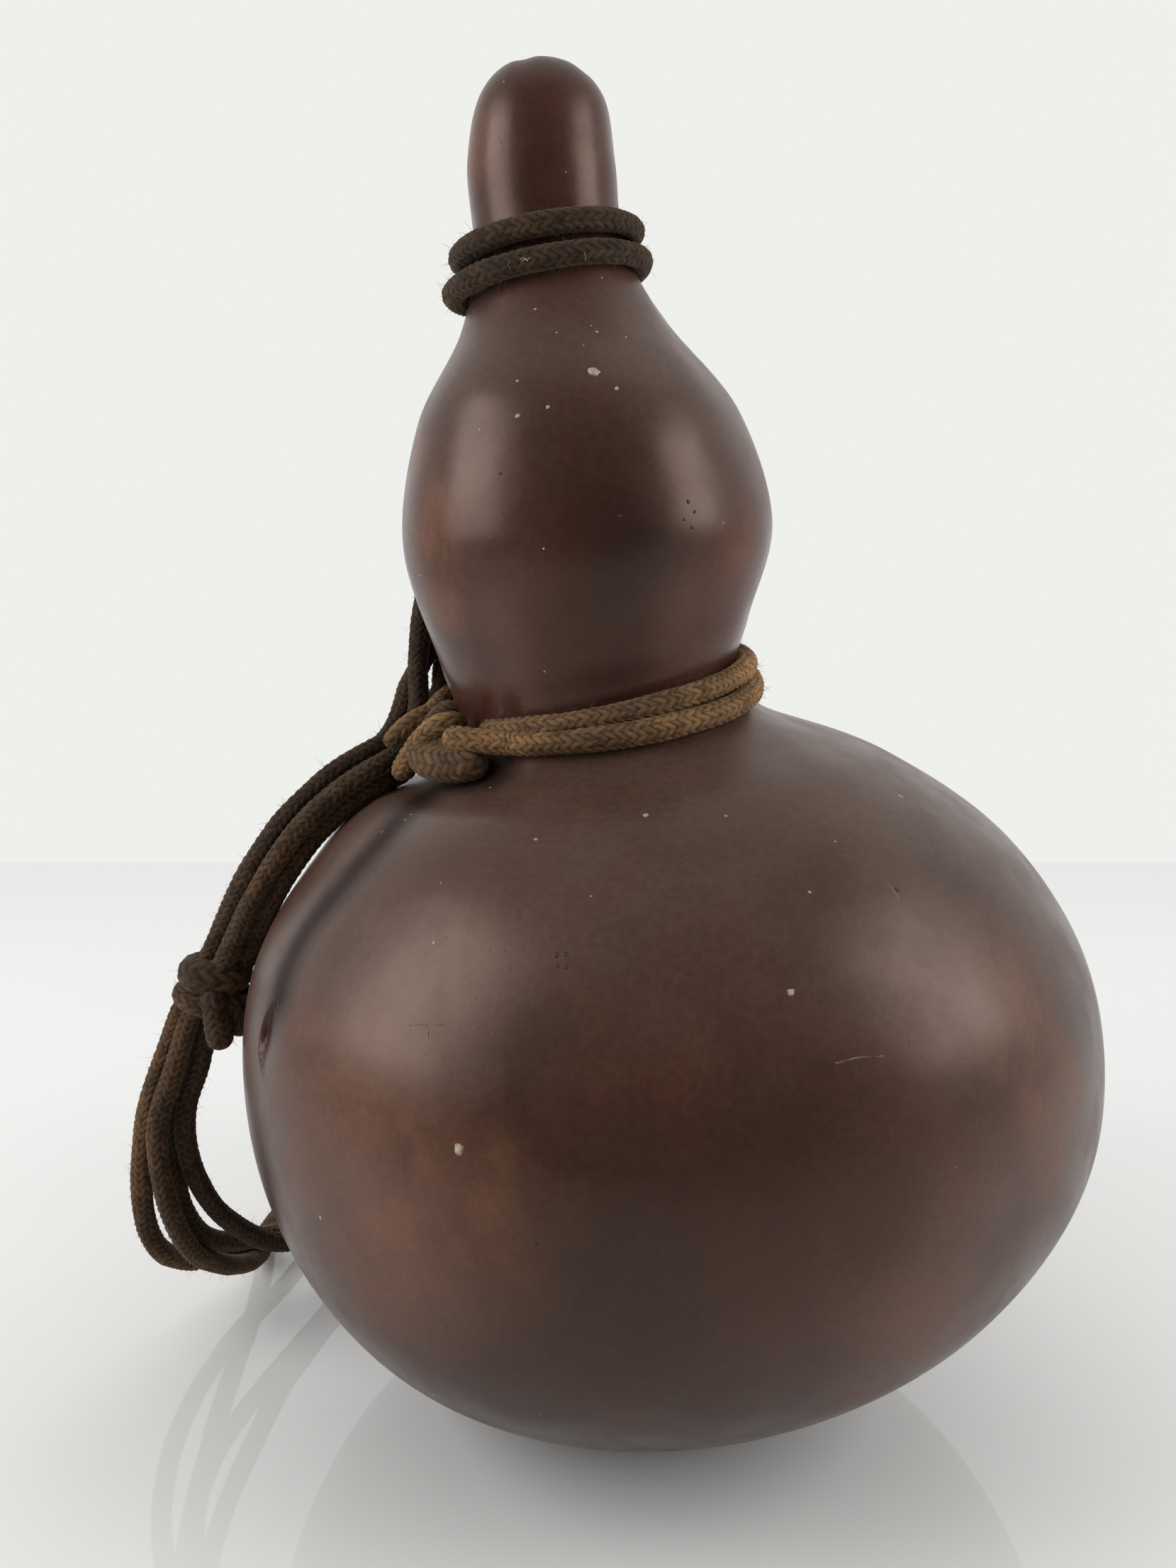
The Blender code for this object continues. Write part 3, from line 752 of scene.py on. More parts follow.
def braided(points, wear, radius=CORD_RADIUS, seed=1):
    """A braided cord along points, in millimetres, with rounded ends.

    The radius at a place is the cord's, plus the yarn height times the crown, plus a slow
    unevenness and a fine random roughness. The columns sway and the stitches stretch a
    little along the cord, by sines. Wear is a list of (share of the length, amount), read by
    straight lines.
    """
    rng = np.random.default_rng(seed)
    length = route_length(smooth_curve(points, 200))
    rings = max(12, round(length / RING_STEP))
    route = smooth_curve(points, rings)
    side, other = carried_directions(route)
    run = np.linspace(0, length, rings)[:, None]
    share = np.arange(CORD_SIDES)[None, :] / CORD_SIDES
    phases = rng.uniform(0, 2 * math.pi, 8)
    stitches = (run / STITCH_LENGTH + 0.16 * np.sin(run / 4.3 + phases[4])
                + 0.1 * np.sin(run / 1.9 + phases[5]))
    sway = 0.3 * np.sin(run / 11 + phases[6]) + 0.12 * np.sin(run / 3.1 + phases[7])
    crown = yarn_crown(share * STITCH_COLUMNS + sway, stitches)
    uneven = (0.06 * np.sin(run / 5.1 + phases[0]) + 0.04 * np.sin(run / 2.3 + phases[1])
              + 0.07 * np.cos(4 * math.pi * share + run / 9 + phases[2])
              + 0.03 * np.sin(6 * math.pi * share - run / 4 + phases[3])
              + rng.normal(0, ROUGHNESS, (rings, CORD_SIDES)))
    from_end = np.minimum(run, length - run)
    rounding = np.sqrt(np.clip(1 - np.clip(1 - from_end / radius, 0, 1)**2, 0, 1))
    reach = (radius - YARN_HEIGHT / 2 + YARN_HEIGHT * crown + uneven) * rounding
    angle = 2 * math.pi * share[..., None]
    skin = route[:, None] + reach[..., None] * turned(angle, side[:, None], other[:, None])
    amounts = np.interp(run / length, *np.array(wear, float).T)
    surface = ring_surface(skin[1:-1] * MM, route[0] * MM, route[-1] * MM, STITCH_COLUMNS,
                           stitches[1:-1, 0], sway[1:-1, 0], crown=crown[1:-1],
                           wear=amounts[1:-1])
    surface["route"] = route * MM
    surface["skin"] = skin * MM
    return surface


# %% [markdown]
# ## The finish of the cord
#
# The yarn is dyed dark brown and has gone tan where hands and light wore it. Each stitch has
# its own tone, fine fibres run along it, its groove is painted darker than its crown as painted
# shade, and worn stretches fade to gold. The stitch pattern is read from the cord's UV map,
# whose first number counts columns and whose second counts stitches, so it follows every bend.

# %% Cord finish
yarn, ends, out = group_tree(
    "yarn", [("Pattern", "Vector"), ("Place", "Vector")],
    [("Tone", "Float"), ("Height", "Float")])
column = put(yarn, "ShaderNodeSeparateXYZ", {0: ends.outputs["Pattern"]}, 0)
stitch_run = put(yarn, "ShaderNodeSeparateXYZ", {0: ends.outputs["Pattern"]}, 1)
fold = sums(yarn, "SUBTRACT", 1.0, sums(yarn, "PINGPONG", column, 1.0))
stitch = sums(yarn, "MULTIPLY_ADD", fold, STITCH_SLOPE, stitch_run)
cell = put(yarn, "ShaderNodeCombineXYZ", {0: sums(yarn, "FLOOR", stitch),
                                          1: sums(yarn, "FLOOR", column), 2: 0.0})
own_tone = put(yarn, "ShaderNodeTexWhiteNoise", {"Vector": cell}, 0, noise_dimensions="2D")
fibre_place = put(yarn, "ShaderNodeCombineXYZ", {0: sums(yarn, "MULTIPLY", stitch, 9.0),
                                                 1: sums(yarn, "MULTIPLY", column, 1.6), 2: 0.0})
fibres = put(yarn, "ShaderNodeTexNoise", {"Vector": fibre_place, "Scale": 1.0, "Detail": 3.0})
fluff = mottled(yarn, ends.outputs["Place"], 900.0)
tone = sums(yarn, "MULTIPLY_ADD", own_tone, 0.35, sums(yarn, "MULTIPLY", fibres, 0.6))
tone = sums(yarn, "MULTIPLY_ADD", fluff, 0.22, tone)
fill(yarn, out, {"Tone": tone, "Height": sums(yarn, "MULTIPLY_ADD", fluff, 0.5, fibres)})


def cord_finish(name, painted_groove_shade, plain, worn):
    """The deep colour is painted shade in the grooves, plain is the colour of the crowns and worn
    the faded one.
    """
    material, tree, shader, place = new_material(name)
    pattern = put(tree, "ShaderNodeUVMap", {}, uv_map="pattern")
    crown = put(tree, "ShaderNodeAttribute", {}, 2, attribute_name="crown")
    wear = put(tree, "ShaderNodeAttribute", {}, 2, attribute_name="wear")
    inputs = {"Pattern": pattern, "Place": place}
    tone = use(tree, yarn, inputs)
    height = use(tree, yarn, inputs, 1)
    faded = mottled(tree, place, 60.0)
    # Painted shade: the grooves get the deep colour and the crowns the plain one, each stitch with
    # its own random tone
    light = sums(tree, "MULTIPLY", spread(tree, crown, -0.1, 1.0), spread(tree, tone, 0.1, 0.95))
    colour = blend(tree, light, painted_groove_shade, plain)
    worn_share = sums(tree, "MULTIPLY", wear, sums(tree, "MULTIPLY_ADD", faded, 0.7, 0.35))
    worn_share = sums(tree, "MULTIPLY", worn_share, spread(tree, light, -0.2, 0.7))
    colour = blend(tree, sums(tree, "MINIMUM", worn_share, 1.0), colour, worn)
    bump = put(tree, "ShaderNodeBump", {"Strength": 0.6, "Distance": 0.00018, "Height": height})
    fill(tree, shader, {"Base Color": colour, "Roughness": 0.85, "Specular IOR Level": 0.25,
                        "Sheen Weight": 0.18, "Sheen Roughness": 0.4,
                        "Sheen Tint": (0.75, 0.58, 0.42, 1), "Normal": bump})
    return material


# The first colour of each cord finish is painted shade for the grooves
dark_cord = cord_finish("dark_cord_finish", (0.005, 0.0033, 0.0024, 1), (0.049, 0.027, 0.016, 1),
                        (0.200, 0.106, 0.046, 1))
tan_cord = cord_finish("tan_cord_finish", (0.018, 0.010, 0.006, 1), (0.130, 0.074, 0.039, 1),
                       (0.480, 0.262, 0.104, 1))

# %% [markdown]
# ## The cord at the neck
#
# Two turns lie side by side under the crown, tilted up to the right. Each is a tilted ring,
# and the upper one steps down to the lower one behind the neck. There two bights are hitched
# over both turns, and the legs of each run on as two of the four strands.

# %% Neck cord
NECK_UPPER = ((-21.9, 0, 267.4), 19.5, 9)
NECK_LOWER = ((-21.7, 0, 260.3), 21.3, 10)
NECK_START = 90
LEFT_BIGHT = [
    (-31.4, 27.5, 248.6), (-30.2, 26.3, 251.1), (-29.4, 25.3, 254), (-29.7, 24.9, 259),
    (-29.7, 24, 262.8), (-29.4, 23, 266.4), (-29, 21.4, 270), (-27.1, 20, 271.6),
    (-25.2, 22.4, 270.4), (-24.6, 24.1, 266.8), (-24.4, 25.2, 263.2), (-24.4, 26, 259.4),
    (-24.1, 26.6, 254.4), (-24.9, 28, 249.4), (-26.1, 29.2, 246.9),
]
RIGHT_BIGHT = [
    (-20.7, 30.9, 245.3), (-19.5, 29.7, 247.8), (-18.8, 27.8, 252), (-19.3, 26.1, 259),
    (-19.3, 25.4, 263.6), (-19.3, 24.2, 267.4), (-19, 22.5, 271.3), (-16.9, 20.2, 273.2),
    (-14.8, 21.7, 271.8), (-14.3, 23.1, 268.2), (-14.1, 24.2, 264.4), (-14.1, 25, 260.6),
    (-13.6, 26.6, 255.4), (-13.4, 29.2, 250), (-14.2, 31.4, 246.1), (-15.4, 32.6, 243.6),
]


def turn_route(upper, lower, start_degrees, first, last, steps_per_turn=28):
    """Two turns side by side: an upper ring that steps down to a lower one.

    A ring is its centre, radius and sideways tilt. Progress runs from 0 to 2 turns, and the
    step is made within a sixth of a turn on each side of progress 1.
    """
    progress = np.linspace(first, last, round((last - first) * steps_per_turn) + 1)[:, None]
    step = smooth_step((progress - 0.85) / 0.3)
    centre = np.array(upper[0]) + (np.array(lower[0]) - np.array(upper[0])) * step
    radius = upper[1] + (lower[1] - upper[1]) * step
    tilt = np.radians(upper[2] + (lower[2] - upper[2]) * step)
    angle = math.radians(start_degrees) + progress * 2 * math.pi
    out = radius * np.cos(angle)
    return centre + np.hstack([out * np.cos(tilt), radius * np.sin(angle), out * np.sin(tilt)])


neck_turns = braided(turn_route(NECK_UPPER, NECK_LOWER, NECK_START, 0.05, 1.95),
                     [(0, 0.1), (0.25, 0.25), (0.3, 0.1), (0.75, 0.2), (1, 0.1)], seed=11)
left_bight = braided(LEFT_BIGHT, [(0, 0.1), (0.5, 0.3), (1, 0.1)], seed=12)
right_bight = braided(RIGHT_BIGHT, [(0, 0.1), (0.5, 0.3), (1, 0.1)], seed=13)
neck_cord = make_piece("neck_cord", [neck_turns, left_bight, right_bight], dark_cord)
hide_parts("neck_wrap")

# %% [markdown]
# ## The four strands
#
# From the bights four strands run side by side down the back of the upper bulb. Near the
# waist knot they close up into a square bundle that lies over the left shoulder and ends in
# the lower knot. One line is given, and the strands are that line moved sideways and
# outwards by rules, so they never cross.

# %% Strands
BUNDLE = [
    (-22.2, 28.8, 248.6), (-25.6, 32.5, 241.5), (-31.5, 36.4, 230), (-38.3, 36.9, 217),
    (-43.4, 33.5, 205), (-47.2, 28, 192), (-49.7, 21.5, 180), (-52.2, 13.5, 169),
    (-54.6, 5.5, 159.8), (-58.2, -1.2, 153.4), (-63.6, -4.8, 150.4), (-68.4, -6.6, 147.6),
    (-73.0, -8, 144.0), (-79.8, -9.5, 137.3), (-86.5, -9.5, 128.0), (-91.2, -8, 120.3),
    (-94.6, -6.2, 113.6), (-98.2, -6, 105.9),
]
ROW_SPACING = 5.8
BUNDLE_REACH = 3.9
CLOSE_START = 0.42
CLOSE_END = 0.62
UPPER_CENTRE = (-13, 0, 0)
LOWER_CENTRE = (6, 0, 75)
SHOULDER_TOP = 172
SHOULDER_BLEND = 22
REACH_INTO_HITCH = 2.5
REACH_INTO_KNOT = 5.0
STRAND_WEAR = [
    [(0, 0.1), (0.6, 0.15), (0.7, 0.5), (0.8, 0.65), (0.88, 0.3), (1, 0.3)],
    [(0, 0.1), (0.5, 0.3), (0.7, 0.15), (1, 0.4)],
    [(0, 0.05), (0.6, 0.4), (0.72, 0.5), (0.85, 0.6), (1, 0.3)],
    [(0, 0.1), (0.5, 0.2), (1, 0.2)],
]


def strand_routes():
    """Four routes: a row on the upper bulb that closes into a square-packed bundle.

    At each place out points away from the skin, square to the bundle's line, and front is
    square to both. In the row the strands differ in front only, and in the bundle they
    stand front, out, in and back.
    """
    count = 60
    line = smooth_curve(BUNDLE, count)
    along = unit(np.gradient(line, axis=0))
    on_shoulder = smooth_step((SHOULDER_TOP - line[:, 2]) / SHOULDER_BLEND)[:, None]
    from_upper = line - UPPER_CENTRE
    from_upper[:, 2] = 0
    outwards = unit(from_upper) * (1 - on_shoulder) + unit(line - LOWER_CENTRE) * on_shoulder
    outwards = unit(outwards - (outwards * along).sum(axis=1)[:, None] * along)
    front = np.cross(outwards, along)
    share = np.linspace(0, 1, count)
    closed = smooth_step((share - CLOSE_START) / (CLOSE_END - CLOSE_START))[:, None]
    lead = np.minimum(1, 2 * closed)
    row_places = (1.5, 0.5, -0.5, -1.5)
    bundle_places = ((0, 1), (1, 0), (-1, 0), (0, -1))
    routes = []
    for row, (far_out, far_front) in zip(row_places, bundle_places):
        sideways = row * ROW_SPACING * (1 - closed) + far_front * BUNDLE_REACH * closed
        routes.append(line + front * sideways + outwards * far_out * BUNDLE_REACH * lead)
    return routes


def lay_cord(node, route, wear, seed, **ending):
    """One loose cord: its braid and the solid whose place it takes. How it runs and ends is not
    used.
    """
    surface = braided(route, wear, seed=seed)
    piece = make_piece(node + "_braid", [surface], dark_cord)
    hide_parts(node)
    return surface


strands = []
for number, (route, wear) in enumerate(zip(strand_routes(), STRAND_WEAR), start=1):
    route = prolonged(route, REACH_INTO_HITCH, REACH_INTO_KNOT)
    strands.append(lay_cord(f"strand_{number}", route, wear, 20 + number,
                            far_end="knot", lay="hanging"))

# %% [markdown]
# ## The lower knot
#
# The strands end in a tight knot: a fat upper turn, where cord lies doubled, a thinner lower
# turn below it, and two cut ends that hang out. Each turn is one loop of a short helix whose
# axis leans down and away from the gourd. A fat length of cord inside fills the heart of the
# knot, so no gap shows.

# %% Lower knot
KNOT_CENTRE = np.array((-102.4, -6, 100.0))
KNOT_LENGTH = 12.4
KNOT_LINE = np.array((-0.472, 0, -0.881))
KNOT_CORE_RADIUS = 5.2
TURN_CENTRE = np.array((-101.9, -6, 100.0))
TURN_AXIS = np.array((-0.16, 0, -0.987))
# Where each turn starts and ends along the axis, its radius, and the radius of its cord
UPPER_TURN = (-2.6, -1.3, 4.5, 4.1)
LOWER_TURN = (5.4, 2.6, 6.6, CORD_RADIUS)
# The route of each cut end, and the radius of its cord
KNOT_ENDS = [
    ([(-101, -11, 100), (-99.8, -13, 95.7), (-99.2, -13.6, 91.5), (-98.4, -13.8, 85.7)], 3.15),
    ([(-99, -8.5, 98.5), (-96.6, -9.5, 95), (-95.4, -9.4, 91.5), (-95.7, -8.6, 87.4)], 2.6),
]


def knot_turn(start, end, radius, first_degrees, steps=26):
    """One turn round the turns' axis, which moves along it from start to end.

    Its angle is counted from the front, and rises towards the gourd's side.
    """
    front = np.array((0, -1, 0))
    side = np.cross(TURN_AXIS, front)
    share = np.linspace(0, 1, steps)[:, None]
    angle = math.radians(first_degrees) + share * 1.04 * 2 * math.pi
    middle = TURN_CENTRE + TURN_AXIS * (start + (end - start) * share)
    return middle + radius * turned(angle, front, side)


knot_core = [KNOT_CENTRE + KNOT_LINE * KNOT_LENGTH * share for share in (-0.42, -0.2, 0.2, 0.45)]
upper_turn = knot_turn(*UPPER_TURN[:3], 180)
lower_turn = knot_turn(*LOWER_TURN[:3], 240)
knot_parts = [
    braided(knot_core, [(0, 0), (1, 0)], radius=KNOT_CORE_RADIUS, seed=31),
    braided(upper_turn, [(0, 0.2), (0.3, 0.6), (0.5, 0.25), (1, 0.2)], UPPER_TURN[3], seed=36),
    braided(lower_turn, [(0, 0.9), (0.12, 1.0), (0.3, 0.6), (0.6, 0.2), (1, 0.5)], seed=32),
]
for number, (points, radius) in enumerate(KNOT_ENDS):
    knot_parts.append(braided(points, [(0, 0.2), (1, 0.4)], radius, seed=33 + number))
lower_knot = make_piece("lower_knot_braid", knot_parts, dark_cord)
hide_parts("lower_knot")

# %% [markdown]
# ## The tail loops
#
# Two loops hang from the knot, so four lengths of cord show side by side. They fall to the
# table, turn back under the belly of the gourd and lie flat behind it, where the ends of the
# loops are. A limp cord like this bends no tighter than about two of its own diameters.

# %% Tail loops
LAID = 2.7
LOOP_OUTER = [
    (-108.2, -6, 95.5), (-109.9, -6.2, 92.5), (-114.4, -7.2, 81), (-118.3, -8, 70.4),
    (-120.4, -8.2, 58.5), (-121.5, -7.2, 44), (-121.2, -4.8, 34.9), (-119.9, 1.5, 26),
    (-116.6, 11.3, 18.4), (-113.9, 19, 15.4), (-110.9, 27, 13), (-107.3, 34.5, 11),
    (-102, 45, 9), (-96.6, 55.5, 5.4), (-91, 63.5, 3.2), (-83, 72.5, LAID),
    (-70, 83, LAID), (-54, 90.5, LAID), (-36, 94.5, LAID), (-20, 95.5, LAID),
    (-9.5, 105.5, LAID), (-20, 115.5, LAID), (-42, 115.5, LAID), (-64, 109.5, LAID),
    (-84, 98.5, LAID), (-98, 84.5, LAID), (-106.5, 68.5, LAID), (-108.4, 56, 2.8),
    (-106.8, 45, 3.4), (-106.2, 36, 5.6), (-106.3, 26.5, 9.2), (-107.8, 16.6, 14.2),
    (-109.5, 5, 21.8), (-111.0, -4.6, 30), (-113.0, -10, 40.5), (-115.3, -11.4, 54),
    (-115.2, -11.3, 66.5), (-111.2, -10.6, 78.6), (-107.0, -9.8, 91.4), (-105.75, -9.8, 93.75),
]
LOOP_INNER = [
    (-105.75, -2.2, 93.75), (-106.8, -2.2, 91.7), (-107.9, -1.7, 84), (-111, -1.6, 75),
    (-113.9, -1.8, 67), (-115.1, -2.3, 57), (-114.8, -2.6, 49), (-113.5, -2.2, 40.3),
    (-111.4, -0.2, 33.7), (-108.4, 4, 28.2), (-104.9, 9.8, 24.6), (-101.6, 16, 22),
    (-97.6, 23, 19.6), (-93.5, 30.5, 17.4), (-89.8, 37.5, 15.2), (-85.2, 45.5, 11.2),
    (-80, 53.5, 6.8), (-74, 60.5, 3.6), (-66, 68, LAID), (-54, 75, LAID),
    (-42, 77, LAID), (-31.5, 67, LAID), (-42, 57, LAID), (-54, 55.5, LAID),
    (-64, 52.5, 2.8), (-73, 46.5, 4), (-80.5, 39.5, 8), (-86.5, 32, 13),
    (-91, 24.5, 17), (-94.8, 17.3, 20.2), (-98.6, 10.1, 25.6), (-101.6, 4.4, 31.4),
    (-104.9, -0.6, 38.2), (-107.6, -3.8, 45.4), (-109.8, -5.4, 53.4), (-110.6, -6, 61.2),
    (-109.5, -6.4, 70), (-106.4, -6.4, 79), (-103.5, -6, 89.8), (-102.4, -6, 92.0),
]
OUTER_WEAR = [(0, 0.3), (0.06, 0.9), (0.13, 0.6), (0.18, 1.0), (0.3, 0.5), (0.5, 0.3), (0.75, 0.9),
              (0.85, 0.7), (0.95, 0.5), (1, 0.3)]
INNER_WEAR = [(0, 0.2), (0.1, 0.3), (0.3, 0.4), (0.5, 0.2), (0.8, 0.15), (0.9, 0.2), (1, 0.2)]

tails = []
for name, route, wear in (("tail_loop_outer", LOOP_OUTER, OUTER_WEAR),
                          ("tail_loop_inner", LOOP_INNER, INNER_WEAR)):
    route = prolonged(route, REACH_INTO_KNOT, REACH_INTO_KNOT)
    tails.append(lay_cord(name, route, wear, 40 + len(tails), far_end="object", lay="loose",
                          with_pieces=[lower_knot] if not tails else []))

# %% [markdown]
# ## The waist cord and its knot
#
# A second stretch of the same cord, worn to tan, goes twice round the waist. Both turns lie on
# the rind, so their routes are found by rays that meet it. Their knot sits at the left: one
# bight comes over the front and grips a fat bulge, and another crosses over the strands, which
# run on below it.

# %% Waist cord
WAIST_AXIS = np.array((-10.0, 0, 0))
# First and last angle of each turn, in degrees counted from the right over the back, its
# middle height, and how far it rises to the right, sinks at the front and rises at the back
UPPER_LIE = (222, 510, 169, 7, 3, 4)
LOWER_LIE = (238, 517, 167, 5, 5, -1)
LIE_STEP = 9
UPPER_GAP = 2.4
LOWER_GAP = 2.9
LOWER_END = [(-43.5, -26, 160.7), (-39.9, -28.5, 160.8), (-36.5, -29.7, 160.5)]
WAIST_FRONT_BIGHT = [
    (-40.2, -17, 162.3), (-43.0, -20, 163.3), (-45.4, -20.5, 162.7), (-47.9, -19.5, 161.0),
    (-50.5, -18, 158.2), (-52.6, -16, 155.2), (-54.4, -13.2, 152.4), (-55.4, -10, 150.6),
]
WAIST_BULGE = [(-50.6, -15.4, 156.2), (-46.6, -21.3, 155.2), (-42.0, -25.4, 155.0),
               (-37.6, -28.2, 156.0), (-34.6, -29.5, 157.4)]
WAIST_BACK_BIGHT = [
    (-39.8, 20.3, 167.2), (-44.5, 13, 167.5), (-47.0, 6, 166.3), (-48.0, 1, 165.0),
    (-48.7, -2, 164.0), (-49.8, -3.5, 163.2), (-51.6, -4.8, 162.6), (-53.7, -5.5, 161.5),
    (-55.5, -5.5, 160.0), (-57.2, -4.8, 158.2), (-58.8, -3, 156),
]
WAIST_HEART = [(-44.0, 1.5, 163.0), (-45.8, -5, 161.8), (-47.0, -12, 159.2),
               (-44.6, -17.5, 158.3), (-40.0, -21, 158.8)]
HEART_RADIUS = 4.2
BULGE_RADIUS = 4.2


def laid_on_rind(lie, gap):
    """The route of a turn that lies on the rind, gap millimetres off it.

    The height at an angle is the middle height, plus the side rise times its cosine, plus the
    front or back rise times its sine. There a level ray towards the waist's axis finds the
    skin.
    """
    first, last, middle, side_rise, front_drop, back_rise = lie
    route = []
    for degrees in range(first, last + 1, LIE_STEP):
        turn = math.radians(degrees)
        outwards = np.array((math.cos(turn), math.sin(turn), 0))
        sine_rise = front_drop if outwards[1] < 0 else back_rise
        height = middle + side_rise * outwards[0] + sine_rise * outwards[1]
        start = (WAIST_AXIS + (0, 0, height) + outwards * 80) * MM
        _, skin, _, _ = rind.ray_cast(start.tolist(), (-outwards).tolist())
        route.append(np.array(skin) / MM + outwards * gap)
    return route


waist_parts = [
    braided(laid_on_rind(UPPER_LIE, UPPER_GAP),
            [(0, 0.4), (0.2, 0.35), (0.31, 0.4), (0.35, 1.0), (0.44, 1.0), (0.48, 0.5), (1, 0.3)],
            seed=51),
    braided(LOWER_END + laid_on_rind(LOWER_LIE, LOWER_GAP),
            [(0, 0.75), (0.1, 0.6), (0.2, 0.35), (0.36, 0.55), (0.42, 0.75), (0.5, 0.4), (1, 0.3)],
            radius=2.55, seed=50),
    braided(WAIST_FRONT_BIGHT, [(0, 0.5), (0.3, 0.9), (0.6, 1.0), (0.8, 0.7), (1, 0.3)], seed=52),
    braided(WAIST_BULGE, [(0, 0.2), (0.5, 0.2), (1, 0.1)], radius=BULGE_RADIUS, seed=53),
    braided(WAIST_BACK_BIGHT, [(0, 0.3), (0.6, 0.5), (0.8, 0.4), (1, 0.2)], seed=54),
    braided(WAIST_HEART, [(0, 0.1), (1, 0.1)], radius=HEART_RADIUS, seed=55),
]
waist_cord = make_piece("waist_cord", waist_parts, tan_cord)
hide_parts("waist_wrap")

# %% [markdown]
# ## Fluff and stray fibres
#
# Old cotton cord is fluffy: short broken fibres stand out all along it, and blur its outline
# against the light. They are real geometry here, thin three-sided spikes that bend a little,
# because hair particles wouldn't survive outside Blender. A few long pale fibres also cling
# to the cord at the neck.

# %% Fluff
FIBRES_PER_MM = 4
FIBRE_RADIUS = 0.04 * MM
FIBRE_LENGTHS = (0.5, 2.1)
FIBRE_SPREAD = 0.55
FIBRE_BEND = 0.45
FIBRE_STEPS = np.array((0.0, 0.5, 1.0))
THIRDS = np.arange(3)[None, :, None] * 2 * math.pi / 3


def fibres_on(surface, rng):
    """Bent spikes rooted in a cord's skin.

    A fibre's point at t is root + length * (t * heading + t^2 * bend), and its thickness
    shrinks from the root to the tip. Root places and headings are random.
    """
    skin = surface["skin"]
    count = int(route_length(surface["route"]) / MM * FIBRES_PER_MM)
    ring = rng.integers(2, len(skin) - 2, count)
    place = rng.integers(0, CORD_SIDES, count)
    root = skin[ring, place]
    away = unit(root - surface["route"][ring])
    heading = unit(away * 0.6 + rng.normal(0, FIBRE_SPREAD, (count, 3)))
    bend = rng.normal(0, FIBRE_BEND, (count, 3))[:, None]
    length = rng.uniform(*FIBRE_LENGTHS, count)[:, None, None] * MM
    t = FIBRE_STEPS[None, :, None]
    line = (root - away * 0.1 * MM)[:, None] + length * (t * heading[:, None] + t**2 * bend)
    side = unit(np.cross(heading, away + 0.3))
    other = np.cross(heading, side)
    ring_shape = turned(THIRDS, side[:, None], other[:, None])
    thin = FIBRE_RADIUS * (1 - 0.7 * FIBRE_STEPS)[None, :, None, None]
    points = line[:, :, None] + thin * ring_shape[:, None]
    points[..., 2] = np.maximum(points[..., 2], FIBRE_RADIUS)
    corner = np.arange(3)
    after = (corner + 1) % 3
    walls = np.concatenate([np.stack([corner + 3 * k, after + 3 * k, after + 3 * k + 3,
                                      corner + 3 * k + 3], axis=-1)
                            for k in range(len(FIBRE_STEPS) - 1)])
    caps = np.array([[0, 2, 1], [6, 7, 8]])
    first = (np.arange(count) * 9)[:, None, None]
    return {"points": points.reshape(-1, 3), "quads": (walls[None] + first).reshape(-1, 4),
            "triangles": (caps[None] + first).reshape(-1, 3)}


fluff_finish = two_tone_finish("fluff_finish", 400.0, (0.05, 0.032, 0.018, 1),
                               (0.16, 0.105, 0.06, 1), 0.7)
rng = np.random.default_rng(3)
for name, surfaces in (("neck_fluff", [neck_turns, left_bight, right_bight]),
                       ("strand_fluff", strands),
                       ("waist_fluff", waist_parts[:5]), ("knot_fluff", knot_parts[1:]),
                       ("tail_fluff", tails)):
    make_piece(name, [fibres_on(surface, rng) for surface in surfaces], fluff_finish)

# %% Stray fibres
# Pixels along each long pale fibre that clings to the neck cord
STRAY_FIBRES = [
    [(733, 366), (739, 364), (745, 366)], [(738, 363), (743, 367), (748, 363)],
    [(742, 366), (743, 373), (745, 380), (750, 389)], [(736, 369), (741, 366), (745, 369)],
    [(834, 373), (843, 373), (852, 372)], [(824, 355), (826, 361), (825, 367)],
    [(719, 369), (717, 374), (720, 379)],
]
STRAY_RADIUS = 0.07 * MM
bpy.context.view_layer.update()


def stray_fibre(pixels):
    """A thin three-sided tube that lies on the neck cord along the given pixels."""
    knots = []
    for pixel in pixels:
        hit, place, normal, _ = neck_cord.ray_cast(CAMERA_PLACE.tolist(),
                                                   ray_through(pixel).tolist())
        if hit:
            knots.append(np.array(place) + np.array(normal) * STRAY_RADIUS)
    if len(knots) < 2:
        raise ValueError(f"no neck cord at {pixels}")
    route = smooth_curve(knots, 16)
    side, other = carried_directions(route)
    rows = (route[:, None] + STRAY_RADIUS * turned(THIRDS, side[:, None], other[:, None]))[1:-1]
    return ring_surface(rows, route[0], route[-1], 1.0, np.linspace(0, 1, len(rows)),
                        np.zeros(len(rows)))


stray_finish = two_tone_finish("stray_finish", 400.0, (0.30, 0.25, 0.19, 1),
                               (0.55, 0.49, 0.40, 1), 0.7)
make_piece("stray_fibres", [stray_fibre(pixels) for pixels in STRAY_FIBRES], stray_finish)

# %% [markdown]
# ## The table and the light
#
# The object stands on a white glossy table in a white light tent. The table is square, and its
# far edge shows as a faint level line behind the gourd. The tent is the world: white all
# round but darker on the photographer's side, with a soft lamp behind its left and its
# right wall. What the camera sees beyond the table is a plain pale backdrop.

# %% Table
TABLE_HALF = 0.576
TABLE_DROP = 0.0002
TABLE_STEPS = 12


